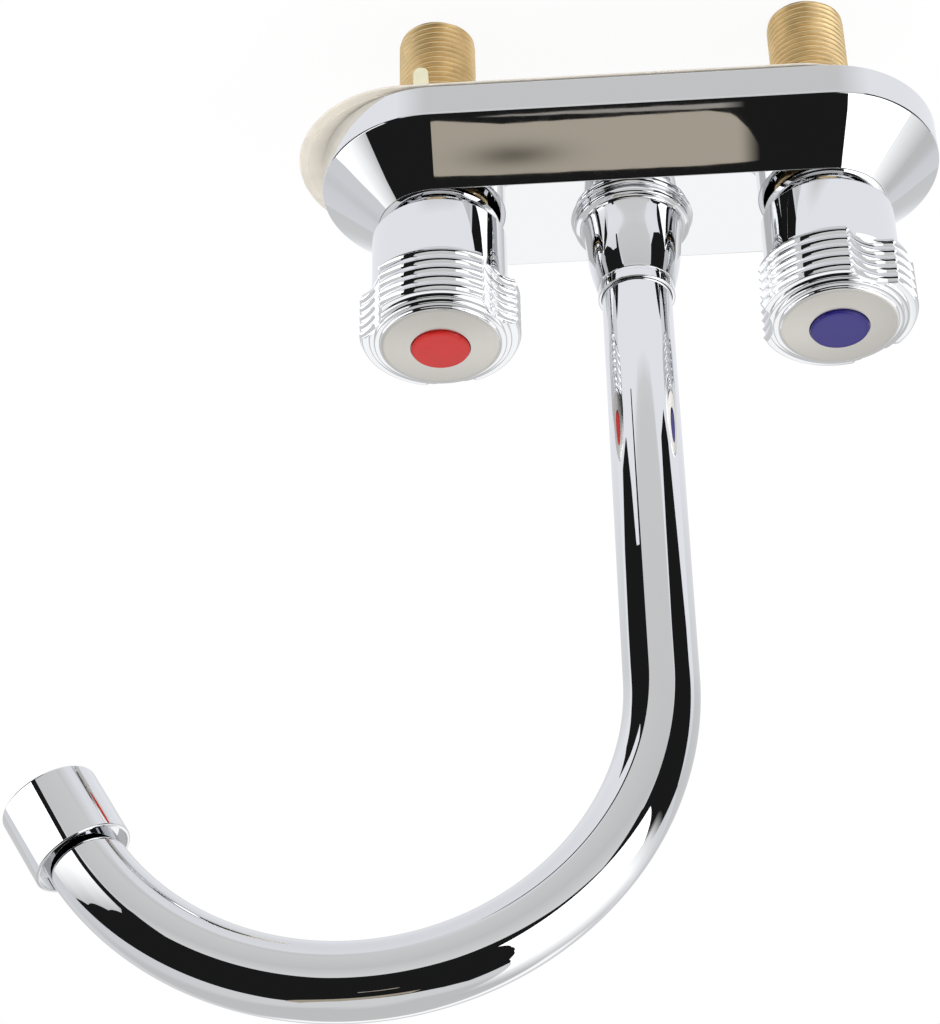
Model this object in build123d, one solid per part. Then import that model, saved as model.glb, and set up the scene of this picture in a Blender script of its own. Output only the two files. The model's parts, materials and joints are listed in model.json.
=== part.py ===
"""Centerset bathroom faucet: two handles and a swivel gooseneck spout on a 4 inch deck cover.

Frame: the origin lies on the deck face, midway between the two supply shanks.
X runs through both shanks (hot at -X, cold at +X), Z points up out of the deck,
and +Y is the back of the faucet.
All lengths are in millimetres.
"""

from build123d import *

import os
from math import atan2, cos, degrees, hypot, radians, sin

os.makedirs("parts", exist_ok=True)

# Driving sizes
SHANK_CENTRES = 101.6
PIPE_THREAD_RADIUS = 20.955 / 2
DECK_TO_SHANK_END = 42.8
TUBE_RADIUS = 9.0
TUBE_WALL = 1.0
BEND_RADIUS = 72.5
BEND_START = 164.0
BEND_SWEEP = 149.5
COVER_HALF_WIDTH = 31.0
COVER_HEIGHT = 22.7
TOP_HALF_WIDTH = 16.2

# Clearances and fits
RUNNING = 0.05
SEAL_GAP = 0.01
FACE_GAP = 0.02
SLIP = 0.1
LOOSE = 0.3

VALVE_X = SHANK_CENTRES / 2
SIDES = {"hot": -VALVE_X, "cold": VALVE_X}

# Base gasket
GASKET_THICKNESS = 1.0
GASKET_INSET = 0.5
GASKET_SHIFT = 6.9
GASKET_STEP_WIDTH = 2.2
GASKET_STEP_HEIGHT = 0.4
TAB_WIDTH = 4.0
TAB_DROP = 19.7
TAB_THICKNESS = 1.6
TAB_REACH = 16.0
TAB_OFFSET = 3.5
TAB_ROOT = 0.5

# Deck cover
RIM_HEIGHT = 10.0
COVER_WALL = 1.8
BOSS_INSET = 0.2
BOSS_SLOPE = 0.65
VALVE_BOSS_HEIGHT = 3.4
SPOUT_BOSS_HEIGHT = 1.0
RIM_EDGE_RADIUS = 0.8
TOP_EDGE_RADIUS = 0.3
COVER_BASE = GASKET_THICKNESS
COVER_TOP = COVER_BASE + COVER_HEIGHT
COVER_CEILING = COVER_TOP - COVER_WALL
BOSS_RADIUS = TOP_HALF_WIDTH - BOSS_INSET
VALVE_BOSS_TOP = COVER_TOP + VALVE_BOSS_HEIGHT
SPOUT_BOSS_TOP = COVER_TOP + SPOUT_BOSS_HEIGHT

# Valve bodies
CHAMBER_RADIUS = 9.4
NECK_WALL = 2.35
BARREL_SHOULDER = 1.25
NECK_RISE = 3.2
SHANK_WALL = 3.08
SEAT_HEIGHT = 6.8
SEAT_LIP = 2.5
SEAT_BORE = 5.2
SHANK_CHAMFER = 1.0
NECK_RADIUS = CHAMBER_RADIUS + NECK_WALL
BARREL_RADIUS = NECK_RADIUS + BARREL_SHOULDER
NECK_TOP = VALVE_BOSS_TOP + NECK_RISE
SUPPLY_BORE = PIPE_THREAD_RADIUS - SHANK_WALL
SEAT_PLANE = GASKET_THICKNESS + SEAT_HEIGHT
RELIEF_DEPTH = 0.9
RELIEF_DROP = 1.0
RELIEF_RADIUS = PIPE_THREAD_RADIUS - RELIEF_DEPTH
COVER_NUT_HEIGHT = 2.6
COVER_NUT_WALL = 1.45
COVER_NUT_CORNER = 1.0
COVER_NUT_HALF_FLATS = NECK_RADIUS + COVER_NUT_WALL

# Cross tubes between the valve bodies and the spout hub
CROSS_RISE = 6.0
CROSS_RADIUS = 5.5
CROSS_WALL = 0.9
SOCKET_DEPTH = 2.0
CROSS_Z = SEAT_PLANE + CROSS_RISE
CROSS_BORE = CROSS_RADIUS - CROSS_WALL

# Spout hub and swivel
HUB_WALL = 1.95
HUB_SHOULDER = 1.5
HUB_FLOOR_GAP = 2.8
HUB_FLOOR = 2.0
HUB_NECK_RISE = 7.1
HUB_CHAMBER_RADIUS = 7.6
INSERT_RISE = 4.0
INSERT_WALL = 2.8
SHOULDER_INSET = 0.4
SHOULDER_HEIGHT = 1.6
SPIGOT_LENGTH = 9.0
GLIDE_HEIGHT = 1.0
ORING_SECTION = 1.3
ORING_FIRST = 3.0
ORING_PITCH = 5.0
ORING_GROOVE = 1.3
HUB_BORE = TUBE_RADIUS + RUNNING
HUB_NECK_RADIUS = HUB_BORE + HUB_WALL
HUB_RADIUS = HUB_NECK_RADIUS + HUB_SHOULDER
HUB_BOTTOM = COVER_BASE + HUB_FLOOR_GAP
HUB_NECK_TOP = SPOUT_BOSS_TOP + HUB_NECK_RISE
INSERT_BOTTOM = CROSS_Z + INSERT_RISE
INSERT_BORE = TUBE_RADIUS - INSERT_WALL
SHOULDER_RADIUS = HUB_NECK_RADIUS - SHOULDER_INSET
SHOULDER_BOTTOM = HUB_NECK_TOP + FACE_GAP
SHOULDER_TOP = SHOULDER_BOTTOM + SHOULDER_HEIGHT
GLIDE_BOTTOM = SHOULDER_TOP + FACE_GAP
GLIDE_TOP = GLIDE_BOTTOM + GLIDE_HEIGHT
SPOUT_ORINGS = [INSERT_BOTTOM + ORING_FIRST + index * ORING_PITCH for index in range(2)]

# Cone-shaped spout nut
NUT_WAIST_WALL = 2.2
NUT_FLANGE_WIDTH = 2.0
NUT_FLANGE_HEIGHT = 2.2
NUT_FLANGE_EDGE = 0.7
NUT_CONE_HEIGHT = 22.5
NUT_NOSE_HEIGHT = 3.4
NUT_NOSE_FULLNESS = 0.2
NUT_LIP_WALL = 0.95
NUT_RIM_WIDTH = 0.25
NUT_BULGE = 0.4
NUT_BORE = TUBE_RADIUS + SLIP
NUT_WAIST_RADIUS = HUB_NECK_RADIUS + NUT_WAIST_WALL
NUT_FLANGE_RADIUS = NUT_WAIST_RADIUS + NUT_FLANGE_WIDTH
NUT_LIP_RADIUS = TUBE_RADIUS + NUT_LIP_WALL
NUT_FLANGE_TOP = SPOUT_BOSS_TOP + NUT_FLANGE_HEIGHT
NUT_LIP_Z = SPOUT_BOSS_TOP + NUT_CONE_HEIGHT
NUT_TOP = NUT_LIP_Z + NUT_NOSE_HEIGHT

# Aerator at the outlet; distances run along the outlet axis from the collar's inner rim,
# which reaches back over the end of the bend
ADAPTER_WALL = 1.9
COLLAR_WALL = 0.9
COLLAR_LENGTH = 18.0
COLLAR_OVERLAP = 3.4
COLLAR_RECESS = 2.0
COLLAR_EDGE_RADIUS = 0.35
ADAPTER_LENGTH = 7.0
WASHER_THICKNESS = 1.8
WASHER_BORE = 7.0
OUTLET_LIP_WIDTH = 1.5
OUTLET_LIP = 1.0
MESH_THICKNESS = 0.5
CORE_WALL = 2.2
CORE_FLOOR = 2.0
PORT_RING_RADIUS = 5.6
PORT_RADIUS = 0.9
PORT_COUNT = 12
OUTLET_THREAD_RADIUS = TUBE_RADIUS + ADAPTER_WALL
COLLAR_RADIUS = OUTLET_THREAD_RADIUS + COLLAR_WALL
CORE_RADIUS = OUTLET_THREAD_RADIUS - SLIP
ADAPTER_END = COLLAR_RECESS + ADAPTER_LENGTH
WASHER_END = ADAPTER_END + WASHER_THICKNESS
LIP_START = COLLAR_LENGTH - OUTLET_LIP
MESH_START = LIP_START - MESH_THICKNESS

# Handles
SKIRT_GAP = 4.4
SKIRT_HEIGHT = 18.0
SKIRT_WALL = 1.5
SKIRT_CLEARANCE = 0.2
GRIP_STANDOFF = 3.1
GRIP_HEIGHT = 14.2
RING_COUNT = 5
RING_PITCH = 2.8
FIRST_RING = 1.6
FLUTE_DEPTH = 0.55
FLUTE_FLANK = 0.65
LOBE_COUNT = 3
SCALLOP_HALF_ANGLE = 19.0
SCALLOP_DEPTH = 3.2
SCALLOP_PHASE = {"hot": 34.5, "cold": 64.0}
TERRACE_COUNT = 2
TERRACE_STEP = 1.3
TERRACE_HEIGHT = 0.77
FACE_INSET = 1.9
FACE_RISE = 1.0
FACE_EDGE_RADIUS = 0.8
GRIP_WALL = 2.25
KNOB_ROOF = 4.0
BUTTON_RADIUS = 7.5
BUTTON_HEIGHT = 3.0
BUTTON_PROUD = 0.5
BUTTON_EDGE_RADIUS = 0.4
SKIRT_RADIUS = BOSS_RADIUS + SKIRT_CLEARANCE + SKIRT_WALL
SKIRT_BOTTOM = COVER_TOP + SKIRT_GAP
GRIP_BOTTOM = SKIRT_BOTTOM + SKIRT_HEIGHT
GRIP_TOP = GRIP_BOTTOM + GRIP_HEIGHT
GRIP_RADIUS = SKIRT_RADIUS + GRIP_STANDOFF
SCALLOP_FLOOR = GRIP_RADIUS - SCALLOP_DEPTH
FACE_RADIUS = SKIRT_RADIUS - FACE_INSET
FACE_EDGE = GRIP_TOP + (TERRACE_COUNT + 1) * TERRACE_HEIGHT
KNOB_FACE = FACE_EDGE + FACE_RISE
BUTTON_TOP = KNOB_FACE + BUTTON_PROUD
BUTTON_BASE = BUTTON_TOP - BUTTON_HEIGHT

# Cartridges and stems
CAGE_WALL = 1.6
SEAL_THICKNESS = 2.0
DISC_THICKNESS = 2.4
BONNET_INSET = 1.75
BONNET_HEIGHT = 3.5
BONNET_CORNER = 0.9
CARTRIDGE_ORING_DROP = 5.0
WINDOW_WIDTH = 7.0
WINDOW_EDGE = 0.4
STEM_FOOT_HEIGHT = 2.6
STEM_FOOT_INSET = 0.3
STEM_RADIUS = 4.4
STEM_ORING_SECTION = 1.0
STEM_ORING_DROP = 2.0
SPLINE_DEPTH = 0.6
SPLINE_LENGTH = 11.0
SOCKET_WALL = 2.8
CLIP_WIDTH = 1.2
CLIP_HEIGHT = 0.8
SCREW_RADIUS = 2.0
SCREW_LENGTH = 10.0
SCREW_SHELF = 0.8
SCREW_HEAD_RADIUS = 3.6
SCREW_HEAD_HEIGHT = 2.2
SCREW_HEAD_EDGE = 0.8
SCREW_CROSS_LENGTH = 4.0
SCREW_CROSS_WIDTH = 0.8
SCREW_CROSS_DEPTH = 1.1
SCREW_COVER = 2.7
PORT_SWEEP = 80.0
PORT_INNER = 2.0
PORT_OUTER = 5.0
CARTRIDGE_RADIUS = CHAMBER_RADIUS - SLIP
DISC_RADIUS = CARTRIDGE_RADIUS - CAGE_WALL - SLIP
BONNET_HALF_FLATS = NECK_RADIUS - BONNET_INSET
BONNET_TOP = NECK_TOP + BONNET_HEIGHT
CARTRIDGE_ORING_Z = NECK_TOP - CARTRIDGE_ORING_DROP
FIXED_DISC_BOTTOM = SEAT_PLANE + SEAL_THICKNESS
MOVING_DISC_BOTTOM = FIXED_DISC_BOTTOM + DISC_THICKNESS + FACE_GAP
STEM_BOTTOM = MOVING_DISC_BOTTOM + DISC_THICKNESS
CAGE_TOP = STEM_BOTTOM + STEM_FOOT_HEIGHT + FACE_GAP
STEM_FOOT_RADIUS = DISC_RADIUS - STEM_FOOT_INSET
STEM_ORING_Z = NECK_TOP - STEM_ORING_DROP
SPLINE_RADIUS = STEM_RADIUS - SPLINE_DEPTH
SCREW_SEAT = BUTTON_BASE - SCREW_COVER - SCREW_HEAD_HEIGHT
STEM_TOP = SCREW_SEAT - SCREW_SHELF
SPLINE_BOTTOM = STEM_TOP - SPLINE_LENGTH
SOCKET_RADIUS = SPLINE_RADIUS + SOCKET_WALL


def at_z(z):
    """Horizontal plane at height z."""
    return Plane.XY.offset(z)


def disc(radius, bottom, top, x=0.0):
    """Upright cylinder between two heights."""
    return Pos(x, 0, (bottom + top) / 2) * Cylinder(radius, top - bottom)


def pipe(outer, inner, bottom, top, x=0.0):
    """Upright pipe between two heights."""
    return disc(outer, bottom, top, x) - disc(inner, bottom, top, x)


def stadium(radius, z, shift=0.0):
    """Long outline whose round ends are centred on the two shanks."""
    return at_z(z) * (Pos(shift, 0) * SlotCenterToCenter(SHANK_CENTRES, 2 * radius))


def stadium_block(radius, bottom, top, shift=0.0):
    """Straight-sided block with the stadium outline."""
    return extrude(stadium(radius, bottom, shift), top - bottom)


def edges_at(part, z):
    """Edges that lie wholly at one height."""
    flat = []
    for edge in part.edges():
        box = edge.bounding_box()
        if abs(box.min.Z - z) < FACE_GAP and abs(box.max.Z - z) < FACE_GAP:
            flat.append(edge)
    return flat


def circles_of(edges, radius):
    """Round edges with the given radius."""
    return [e for e in edges if e.geom_type == GeomType.CIRCLE and abs(e.radius - radius) < FACE_GAP]


def turned(outline):
    """Solid of revolution about Z from lines drawn as radius and height."""
    return revolve(Plane.XZ * make_face(outline), Axis.Z, 360)


def groove(radius, z, section):
    """Ring of material to cut for an O-ring."""
    half_width = section * ORING_GROOVE / 2
    return pipe(radius + section, radius - section, z - half_width, z + half_width)


def o_ring(outer, z, section):
    """O-ring with the given outside radius."""
    profile = Pos(outer - section / 2, 0, z) * Rot(90, 0, 0) * Circle(section / 2)
    return revolve(profile, Axis.Z, 360)


def write(node, part):
    """Store one node's solids."""
    solids = part.solids()
    shape = solids[0] if len(solids) == 1 else Compound(children=list(solids))
    export_step(shape, f"parts/{node}.step")


def base_gasket():
    """Moulded plate, slid towards the hot side as far as its slots allow, with one tab."""
    radius = COVER_HALF_WIDTH - GASKET_INSET
    step_z = GASKET_THICKNESS - GASKET_STEP_HEIGHT
    plate = stadium_block(radius, 0, step_z, -GASKET_SHIFT)
    plate += stadium_block(radius - GASKET_STEP_WIDTH, 0, GASKET_THICKNESS, -GASKET_SHIFT)
    for x in SIDES.values():
        slot = SlotCenterToCenter(2 * GASKET_SHIFT, 2 * (PIPE_THREAD_RADIUS + LOOSE))
        plate -= extrude(Pos(x - GASKET_SHIFT, 0) * slot, GASKET_THICKNESS)
    tip = TAB_WIDTH / 2
    straight = TAB_DROP + TAB_ROOT - tip
    blade = Pos(0, TAB_ROOT - straight / 2) * Rectangle(TAB_WIDTH, straight)
    blade += Pos(0, TAB_ROOT - straight) * Circle(tip)
    tab_plane = Plane(
        origin=(-VALVE_X - TAB_OFFSET, TAB_REACH, 0), x_dir=(-1, 0, 0), z_dir=(0, 1, 0)
    )
    return plate + extrude(tab_plane * blade, -TAB_THICKNESS)


def cover_form(half_width, rim_top, top, top_half_width):
    """Upright rim with a sloped shoulder up to the narrower top."""
    rim = stadium_block(half_width, COVER_BASE, rim_top)
    return rim + loft([stadium(half_width, rim_top), stadium(top_half_width, top)], ruled=True)


def cover_hollow():
    """Inside of the cover, one wall thickness in from its rim, slope and top."""
    rise = COVER_HEIGHT - RIM_HEIGHT
    run = COVER_HALF_WIDTH - TOP_HALF_WIDTH
    inset = COVER_WALL * hypot(run, rise) / rise
    rim_top = COVER_BASE + RIM_HEIGHT + (COVER_WALL - inset) * rise / run
    top_half_width = TOP_HALF_WIDTH - inset + COVER_WALL * run / rise
    return cover_form(COVER_HALF_WIDTH - COVER_WALL, rim_top, COVER_CEILING, top_half_width)


def boss(x, height):
    """Low round boss on the cover's flat top, drawn in towards its own top."""
    top_radius = BOSS_RADIUS - BOSS_SLOPE * height
    return Pos(x, 0, COVER_TOP + height / 2) * Cone(BOSS_RADIUS, top_radius, height)


def deck_cover():
    """Plated shell: upright rim, sloped sides, three tapered bosses and three holes."""
    rim_top = COVER_BASE + RIM_HEIGHT
    shell = cover_form(COVER_HALF_WIDTH, rim_top, COVER_TOP, TOP_HALF_WIDTH)
    shell = fillet(edges_at(shell, rim_top), RIM_EDGE_RADIUS)
    shell = fillet(edges_at(shell, COVER_TOP), TOP_EDGE_RADIUS)
    for x in SIDES.values():
        shell += boss(x, VALVE_BOSS_HEIGHT)
    shell += boss(0, SPOUT_BOSS_HEIGHT)
    shell -= cover_hollow()
    for x in SIDES.values():
        shell -= disc(NECK_RADIUS + LOOSE, COVER_BASE, VALVE_BOSS_TOP, x)
    return shell - disc(HUB_NECK_RADIUS + LOOSE, COVER_BASE, SPOUT_BOSS_TOP)


def valve_body(x):
    """Cast brass body: threaded shank with a relief under the deck face, barrel and neck."""
    shank_end = -DECK_TO_SHANK_END
    body = disc(PIPE_THREAD_RADIUS, shank_end, -RELIEF_DROP)
    body = chamfer(edges_at(body, shank_end), SHANK_CHAMFER)
    body += disc(RELIEF_RADIUS, -RELIEF_DROP, GASKET_THICKNESS)
    body += disc(BARREL_RADIUS, GASKET_THICKNESS, COVER_CEILING)
    body += disc(NECK_RADIUS, COVER_CEILING, NECK_TOP)
    body -= disc(SUPPLY_BORE, shank_end, SEAT_PLANE - SEAT_LIP)
    body -= disc(SEAT_BORE, shank_end, SEAT_PLANE)
    body -= disc(CHAMBER_RADIUS, SEAT_PLANE, NECK_TOP)
    toward_hub = -1 if x > 0 else 1
    across = Pos(toward_hub * BARREL_RADIUS / 2, 0, CROSS_Z) * Rot(0, 90, 0)
    body -= across * Cylinder(CROSS_BORE, BARREL_RADIUS)
    body -= socket(toward_hub * BARREL_RADIUS, -toward_hub)
    return Pos(x, 0, 0) * body


def socket(mouth, inward):
    """Round pocket for the end of a cross tube, from its mouth inwards along X."""
    centre = mouth + inward * SOCKET_DEPTH / 2
    return Pos(centre, 0, CROSS_Z) * Rot(0, 90, 0) * Cylinder(CROSS_RADIUS, SOCKET_DEPTH)


def cross_tubes():
    """Two short pipes that carry hot and cold water to the hub."""
    start = HUB_RADIUS - SOCKET_DEPTH
    end = VALVE_X - BARREL_RADIUS + SOCKET_DEPTH
    length = end - start
    pipe_x = Rot(0, 90, 0) * (Cylinder(CROSS_RADIUS, length) - Cylinder(CROSS_BORE, length))
    middle = (start + end) / 2
    return Compound(children=[Pos(side * middle, 0, CROSS_Z) * pipe_x for side in (-1, 1)])


def spout_hub():
    """Central brass fitting whose bore lets the spout turn."""
    hub = disc(HUB_RADIUS, HUB_BOTTOM, COVER_CEILING)
    hub += disc(HUB_NECK_RADIUS, COVER_CEILING, HUB_NECK_TOP)
    hub -= disc(HUB_CHAMBER_RADIUS, HUB_BOTTOM + HUB_FLOOR, INSERT_BOTTOM)
    hub -= disc(HUB_BORE, INSERT_BOTTOM - LOOSE, HUB_NECK_TOP)
    hub -= Pos(0, 0, CROSS_Z) * Rot(0, 90, 0) * Cylinder(CROSS_BORE, 2 * HUB_RADIUS)
    for side in (-1, 1):
        hub -= socket(side * HUB_RADIUS, -side)
    return hub


def cover_nuts():
    """Two hexagon nuts that clamp the cover on the valve necks."""
    top = VALVE_BOSS_TOP + COVER_NUT_HEIGHT
    hexagon = RegularPolygon(COVER_NUT_HALF_FLATS, 6, major_radius=False)
    nut = extrude(at_z(VALVE_BOSS_TOP) * hexagon, COVER_NUT_HEIGHT)
    nut &= disc(COVER_NUT_HALF_FLATS + COVER_NUT_CORNER, VALVE_BOSS_TOP, top)
    nut -= disc(NECK_RADIUS, VALVE_BOSS_TOP, top)
    return Compound(children=[Pos(x, 0, 0) * nut for x in SIDES.values()])


def swivel_insert():
    """Brass foot of the spout: two O-ring grooves, a retaining shoulder and a spigot."""
    spigot_top = SHOULDER_TOP + SPIGOT_LENGTH
    part = disc(TUBE_RADIUS, INSERT_BOTTOM, SHOULDER_BOTTOM)
    part += disc(SHOULDER_RADIUS, SHOULDER_BOTTOM, SHOULDER_TOP)
    part += disc(TUBE_RADIUS - TUBE_WALL, SHOULDER_TOP, spigot_top)
    part -= disc(INSERT_BORE, INSERT_BOTTOM, spigot_top)
    for z in SPOUT_ORINGS:
        part -= groove(TUBE_RADIUS, z, ORING_SECTION)
    return part


def spout_orings():
    """Two O-rings in the spout's foot."""
    outer = HUB_BORE - SEAL_GAP
    return Compound(children=[o_ring(outer, z, ORING_SECTION) for z in SPOUT_ORINGS])


def spout_glide_ring():
    """Plastic ring between the spout's shoulder and the nut."""
    return pipe(SHOULDER_RADIUS, HUB_BORE, GLIDE_BOTTOM, GLIDE_TOP)


def spout_nut():
    """Cone-shaped nut that holds the spout down and clamps the middle of the cover."""
    base = SPOUT_BOSS_TOP
    rim = NUT_FLANGE_RADIUS - NUT_FLANGE_EDGE
    middle = ((NUT_WAIST_RADIUS + NUT_LIP_RADIUS) / 2 + NUT_BULGE, (NUT_FLANGE_TOP + NUT_LIP_Z) / 2)
    nose = (NUT_LIP_RADIUS - NUT_NOSE_FULLNESS, (NUT_LIP_Z + NUT_TOP) / 2)
    lip = (NUT_LIP_RADIUS, NUT_LIP_Z)
    tip = (NUT_BORE + NUT_RIM_WIDTH, NUT_TOP)
    waist = (NUT_WAIST_RADIUS, NUT_FLANGE_TOP)
    flange_edge = (NUT_FLANGE_RADIUS, base + NUT_FLANGE_HEIGHT / 2)
    return turned([
        Line((HUB_NECK_RADIUS, base), (rim, base)),
        ThreePointArc((rim, base), flange_edge, (rim, NUT_FLANGE_TOP)),
        Line((rim, NUT_FLANGE_TOP), waist),
        ThreePointArc(waist, middle, lip),
        ThreePointArc(lip, nose, tip),
        Line(tip, (NUT_BORE, NUT_TOP)),
        Line((NUT_BORE, NUT_TOP), (NUT_BORE, GLIDE_TOP)),
        Line((NUT_BORE, GLIDE_TOP), (HUB_NECK_RADIUS, GLIDE_TOP)),
        Line((HUB_NECK_RADIUS, GLIDE_TOP), (HUB_NECK_RADIUS, base)),
    ])


def outlet_plane(distance):
    """Plane across the outlet axis, a distance beyond the collar's inner rim."""
    beyond_bend = distance - COLLAR_OVERLAP
    angle = radians(BEND_SWEEP)
    bend_end = Vector(BEND_RADIUS * (cos(angle) - 1), 0, BEND_START + BEND_RADIUS * sin(angle))
    direction = Vector(-sin(angle), 0, cos(angle))
    return Plane(origin=bend_end + direction * beyond_bend, x_dir=(0, 1, 0), z_dir=direction)


def outlet_ring(outer, inner, start, end):
    """Ring along the outlet axis between two distances."""
    return extrude(outlet_plane(start) * (Circle(outer) - Circle(inner)), end - start)


def outlet_disc(radius, start, end):
    """Disc along the outlet axis between two distances."""
    return extrude(outlet_plane(start) * Circle(radius), end - start)


def gooseneck_tube():
    """Bent spout tube from the swivel shoulder to the outlet adapter's end."""
    inner = TUBE_RADIUS - TUBE_WALL
    ring = Circle(TUBE_RADIUS) - Circle(inner)
    riser = extrude(at_z(SHOULDER_TOP) * ring, BEND_START - SHOULDER_TOP)
    bend_axis = Axis((-BEND_RADIUS, 0, BEND_START), (0, -1, 0))
    bend = revolve(at_z(BEND_START) * ring, bend_axis, BEND_SWEEP)
    return riser + bend + outlet_ring(TUBE_RADIUS, inner, COLLAR_OVERLAP, ADAPTER_END)


def outlet_adapter():
    """Threaded brass ring on the tube's end."""
    return outlet_ring(OUTLET_THREAD_RADIUS, TUBE_RADIUS, COLLAR_RECESS, ADAPTER_END)


def aerator_washer():
    """Flat washer between the adapter and the aerator core."""
    return outlet_ring(CORE_RADIUS, WASHER_BORE, ADAPTER_END, WASHER_END)


def aerator_shell():
    """Plain collar that screws over the adapter and holds the aerator."""
    lip_bore = OUTLET_THREAD_RADIUS - OUTLET_LIP_WIDTH
    shell = outlet_ring(COLLAR_RADIUS, OUTLET_THREAD_RADIUS, 0, LIP_START)
    shell += outlet_ring(COLLAR_RADIUS, lip_bore, LIP_START, COLLAR_LENGTH)
    return fillet(circles_of(shell.edges(), COLLAR_RADIUS), COLLAR_EDGE_RADIUS)


def aerator_core():
    """Moulded cup with a ring of water ports in its floor."""
    core = outlet_disc(CORE_RADIUS, WASHER_END, MESH_START)
    core -= outlet_disc(CORE_RADIUS - CORE_WALL, WASHER_END + CORE_FLOOR, MESH_START)
    for location in PolarLocations(PORT_RING_RADIUS, PORT_COUNT):
        core -= extrude(outlet_plane(WASHER_END) * location * Circle(PORT_RADIUS), CORE_FLOOR)
    return core


def aerator_screen():
    """Fine mesh disc behind the collar's lip."""
    return outlet_disc(CORE_RADIUS, MESH_START, LIP_START)


def lobed_outline(phase, inset=0.0):
    """Round outline with shallow scallops cut by large circles, drawn in by an inset."""
    half_angle = radians(SCALLOP_HALF_ANGLE)
    half_chord = GRIP_RADIUS * sin(half_angle)
    depth = GRIP_RADIUS * cos(half_angle) - SCALLOP_FLOOR
    cutter = (half_chord**2 + depth**2) / (2 * depth)
    outline = Circle(GRIP_RADIUS - inset)
    for index in range(LOBE_COUNT):
        angle = phase + index * 360 / LOBE_COUNT
        outline -= Rot(0, 0, angle) * Pos(SCALLOP_FLOOR + cutter, 0) * Circle(cutter + inset)
    return outline


def grip_ring(index, phase):
    """Sharp ring between two hollow flutes of the grip."""
    crest = at_z(GRIP_BOTTOM + FIRST_RING + index * RING_PITCH) * lobed_outline(phase)
    flank_angle = degrees(atan2(FLUTE_DEPTH, FLUTE_FLANK))
    upper = extrude(crest, FLUTE_FLANK, taper=flank_angle)
    return upper + extrude(crest, -FLUTE_FLANK, taper=flank_angle)


def knob(x, phase):
    """Handle: round skirt, fluted lobed grip, round terraces and a slightly domed face."""
    body = disc(SKIRT_RADIUS, SKIRT_BOTTOM, GRIP_BOTTOM)
    body += extrude(at_z(GRIP_BOTTOM) * lobed_outline(phase, FLUTE_DEPTH), GRIP_HEIGHT)
    for index in range(RING_COUNT):
        body += grip_ring(index, phase)
    lobes = extrude(at_z(GRIP_TOP) * lobed_outline(phase, FLUTE_DEPTH), FACE_EDGE - GRIP_TOP)
    for index in range(TERRACE_COUNT):
        radius = FACE_RADIUS + (TERRACE_COUNT - index) * TERRACE_STEP
        body += disc(radius, GRIP_TOP, GRIP_TOP + (index + 1) * TERRACE_HEIGHT) & lobes
    dome_radius = (FACE_RADIUS**2 + FACE_RISE**2) / (2 * FACE_RISE)
    dome = Pos(0, 0, KNOB_FACE - dome_radius) * Sphere(dome_radius)
    face = dome & disc(FACE_RADIUS, GRIP_TOP, KNOB_FACE)
    body += fillet(edges_at(face, FACE_EDGE), FACE_EDGE_RADIUS)
    roof = FACE_EDGE - KNOB_ROOF
    body -= disc(SKIRT_RADIUS - SKIRT_WALL, SKIRT_BOTTOM, GRIP_BOTTOM - SKIRT_WALL)
    body -= disc(SCALLOP_FLOOR - FLUTE_DEPTH - GRIP_WALL, SKIRT_BOTTOM, roof)
    body += disc(SOCKET_RADIUS, SPLINE_BOTTOM, roof)
    body -= disc(SPLINE_RADIUS, SPLINE_BOTTOM, STEM_TOP)
    body -= disc(SCREW_RADIUS + SLIP, STEM_TOP, SCREW_SEAT)
    body -= disc(SCREW_HEAD_RADIUS + SLIP, SCREW_SEAT, BUTTON_BASE)
    body -= disc(BUTTON_RADIUS + RUNNING, BUTTON_BASE, KNOB_FACE)
    return Pos(x, 0, 0) * body


def index_button(x):
    """Coloured disc with a soft edge."""
    button = disc(BUTTON_RADIUS, BUTTON_BASE, BUTTON_TOP, x)
    return fillet(edges_at(button, BUTTON_TOP), BUTTON_EDGE_RADIUS)


def handle_screw(x):
    """Pan-head screw through the knob into the stem."""
    head_top = SCREW_SEAT + SCREW_HEAD_HEIGHT
    screw = disc(SCREW_HEAD_RADIUS, SCREW_SEAT, head_top)
    screw = fillet(edges_at(screw, head_top), SCREW_HEAD_EDGE)
    screw += disc(SCREW_RADIUS, SCREW_SEAT - SCREW_LENGTH, SCREW_SEAT)
    slot = Box(SCREW_CROSS_LENGTH, SCREW_CROSS_WIDTH, 2 * SCREW_CROSS_DEPTH)
    for angle in (0, 90):
        screw -= Pos(0, 0, head_top) * Rot(0, 0, angle) * slot
    return Pos(x, 0, 0) * screw


def seat_seal(x):
    """Rubber ring that seals the cartridge on the valve seat."""
    return pipe(DISC_RADIUS, SEAT_BORE, SEAT_PLANE, FIXED_DISC_BOTTOM, x)


def ported_disc(x, bottom, turn):
    """Ceramic disc with two opposite sector openings."""
    half = radians(PORT_SWEEP / 2)
    corners = [(r * cos(half), r * sin(half)) for r in (PORT_INNER, PORT_OUTER)]
    lower = [(px, -py) for px, py in corners]
    sector = make_face([
        Line(corners[0], corners[1]),
        ThreePointArc(corners[1], (PORT_OUTER, 0), lower[1]),
        Line(lower[1], lower[0]),
        ThreePointArc(lower[0], (PORT_INNER, 0), corners[0]),
    ])
    plate = Circle(DISC_RADIUS)
    for side in (0, 180):
        plate -= Rot(0, 0, turn + side) * sector
    return Pos(x, 0, 0) * extrude(at_z(bottom) * plate, DISC_THICKNESS)


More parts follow.
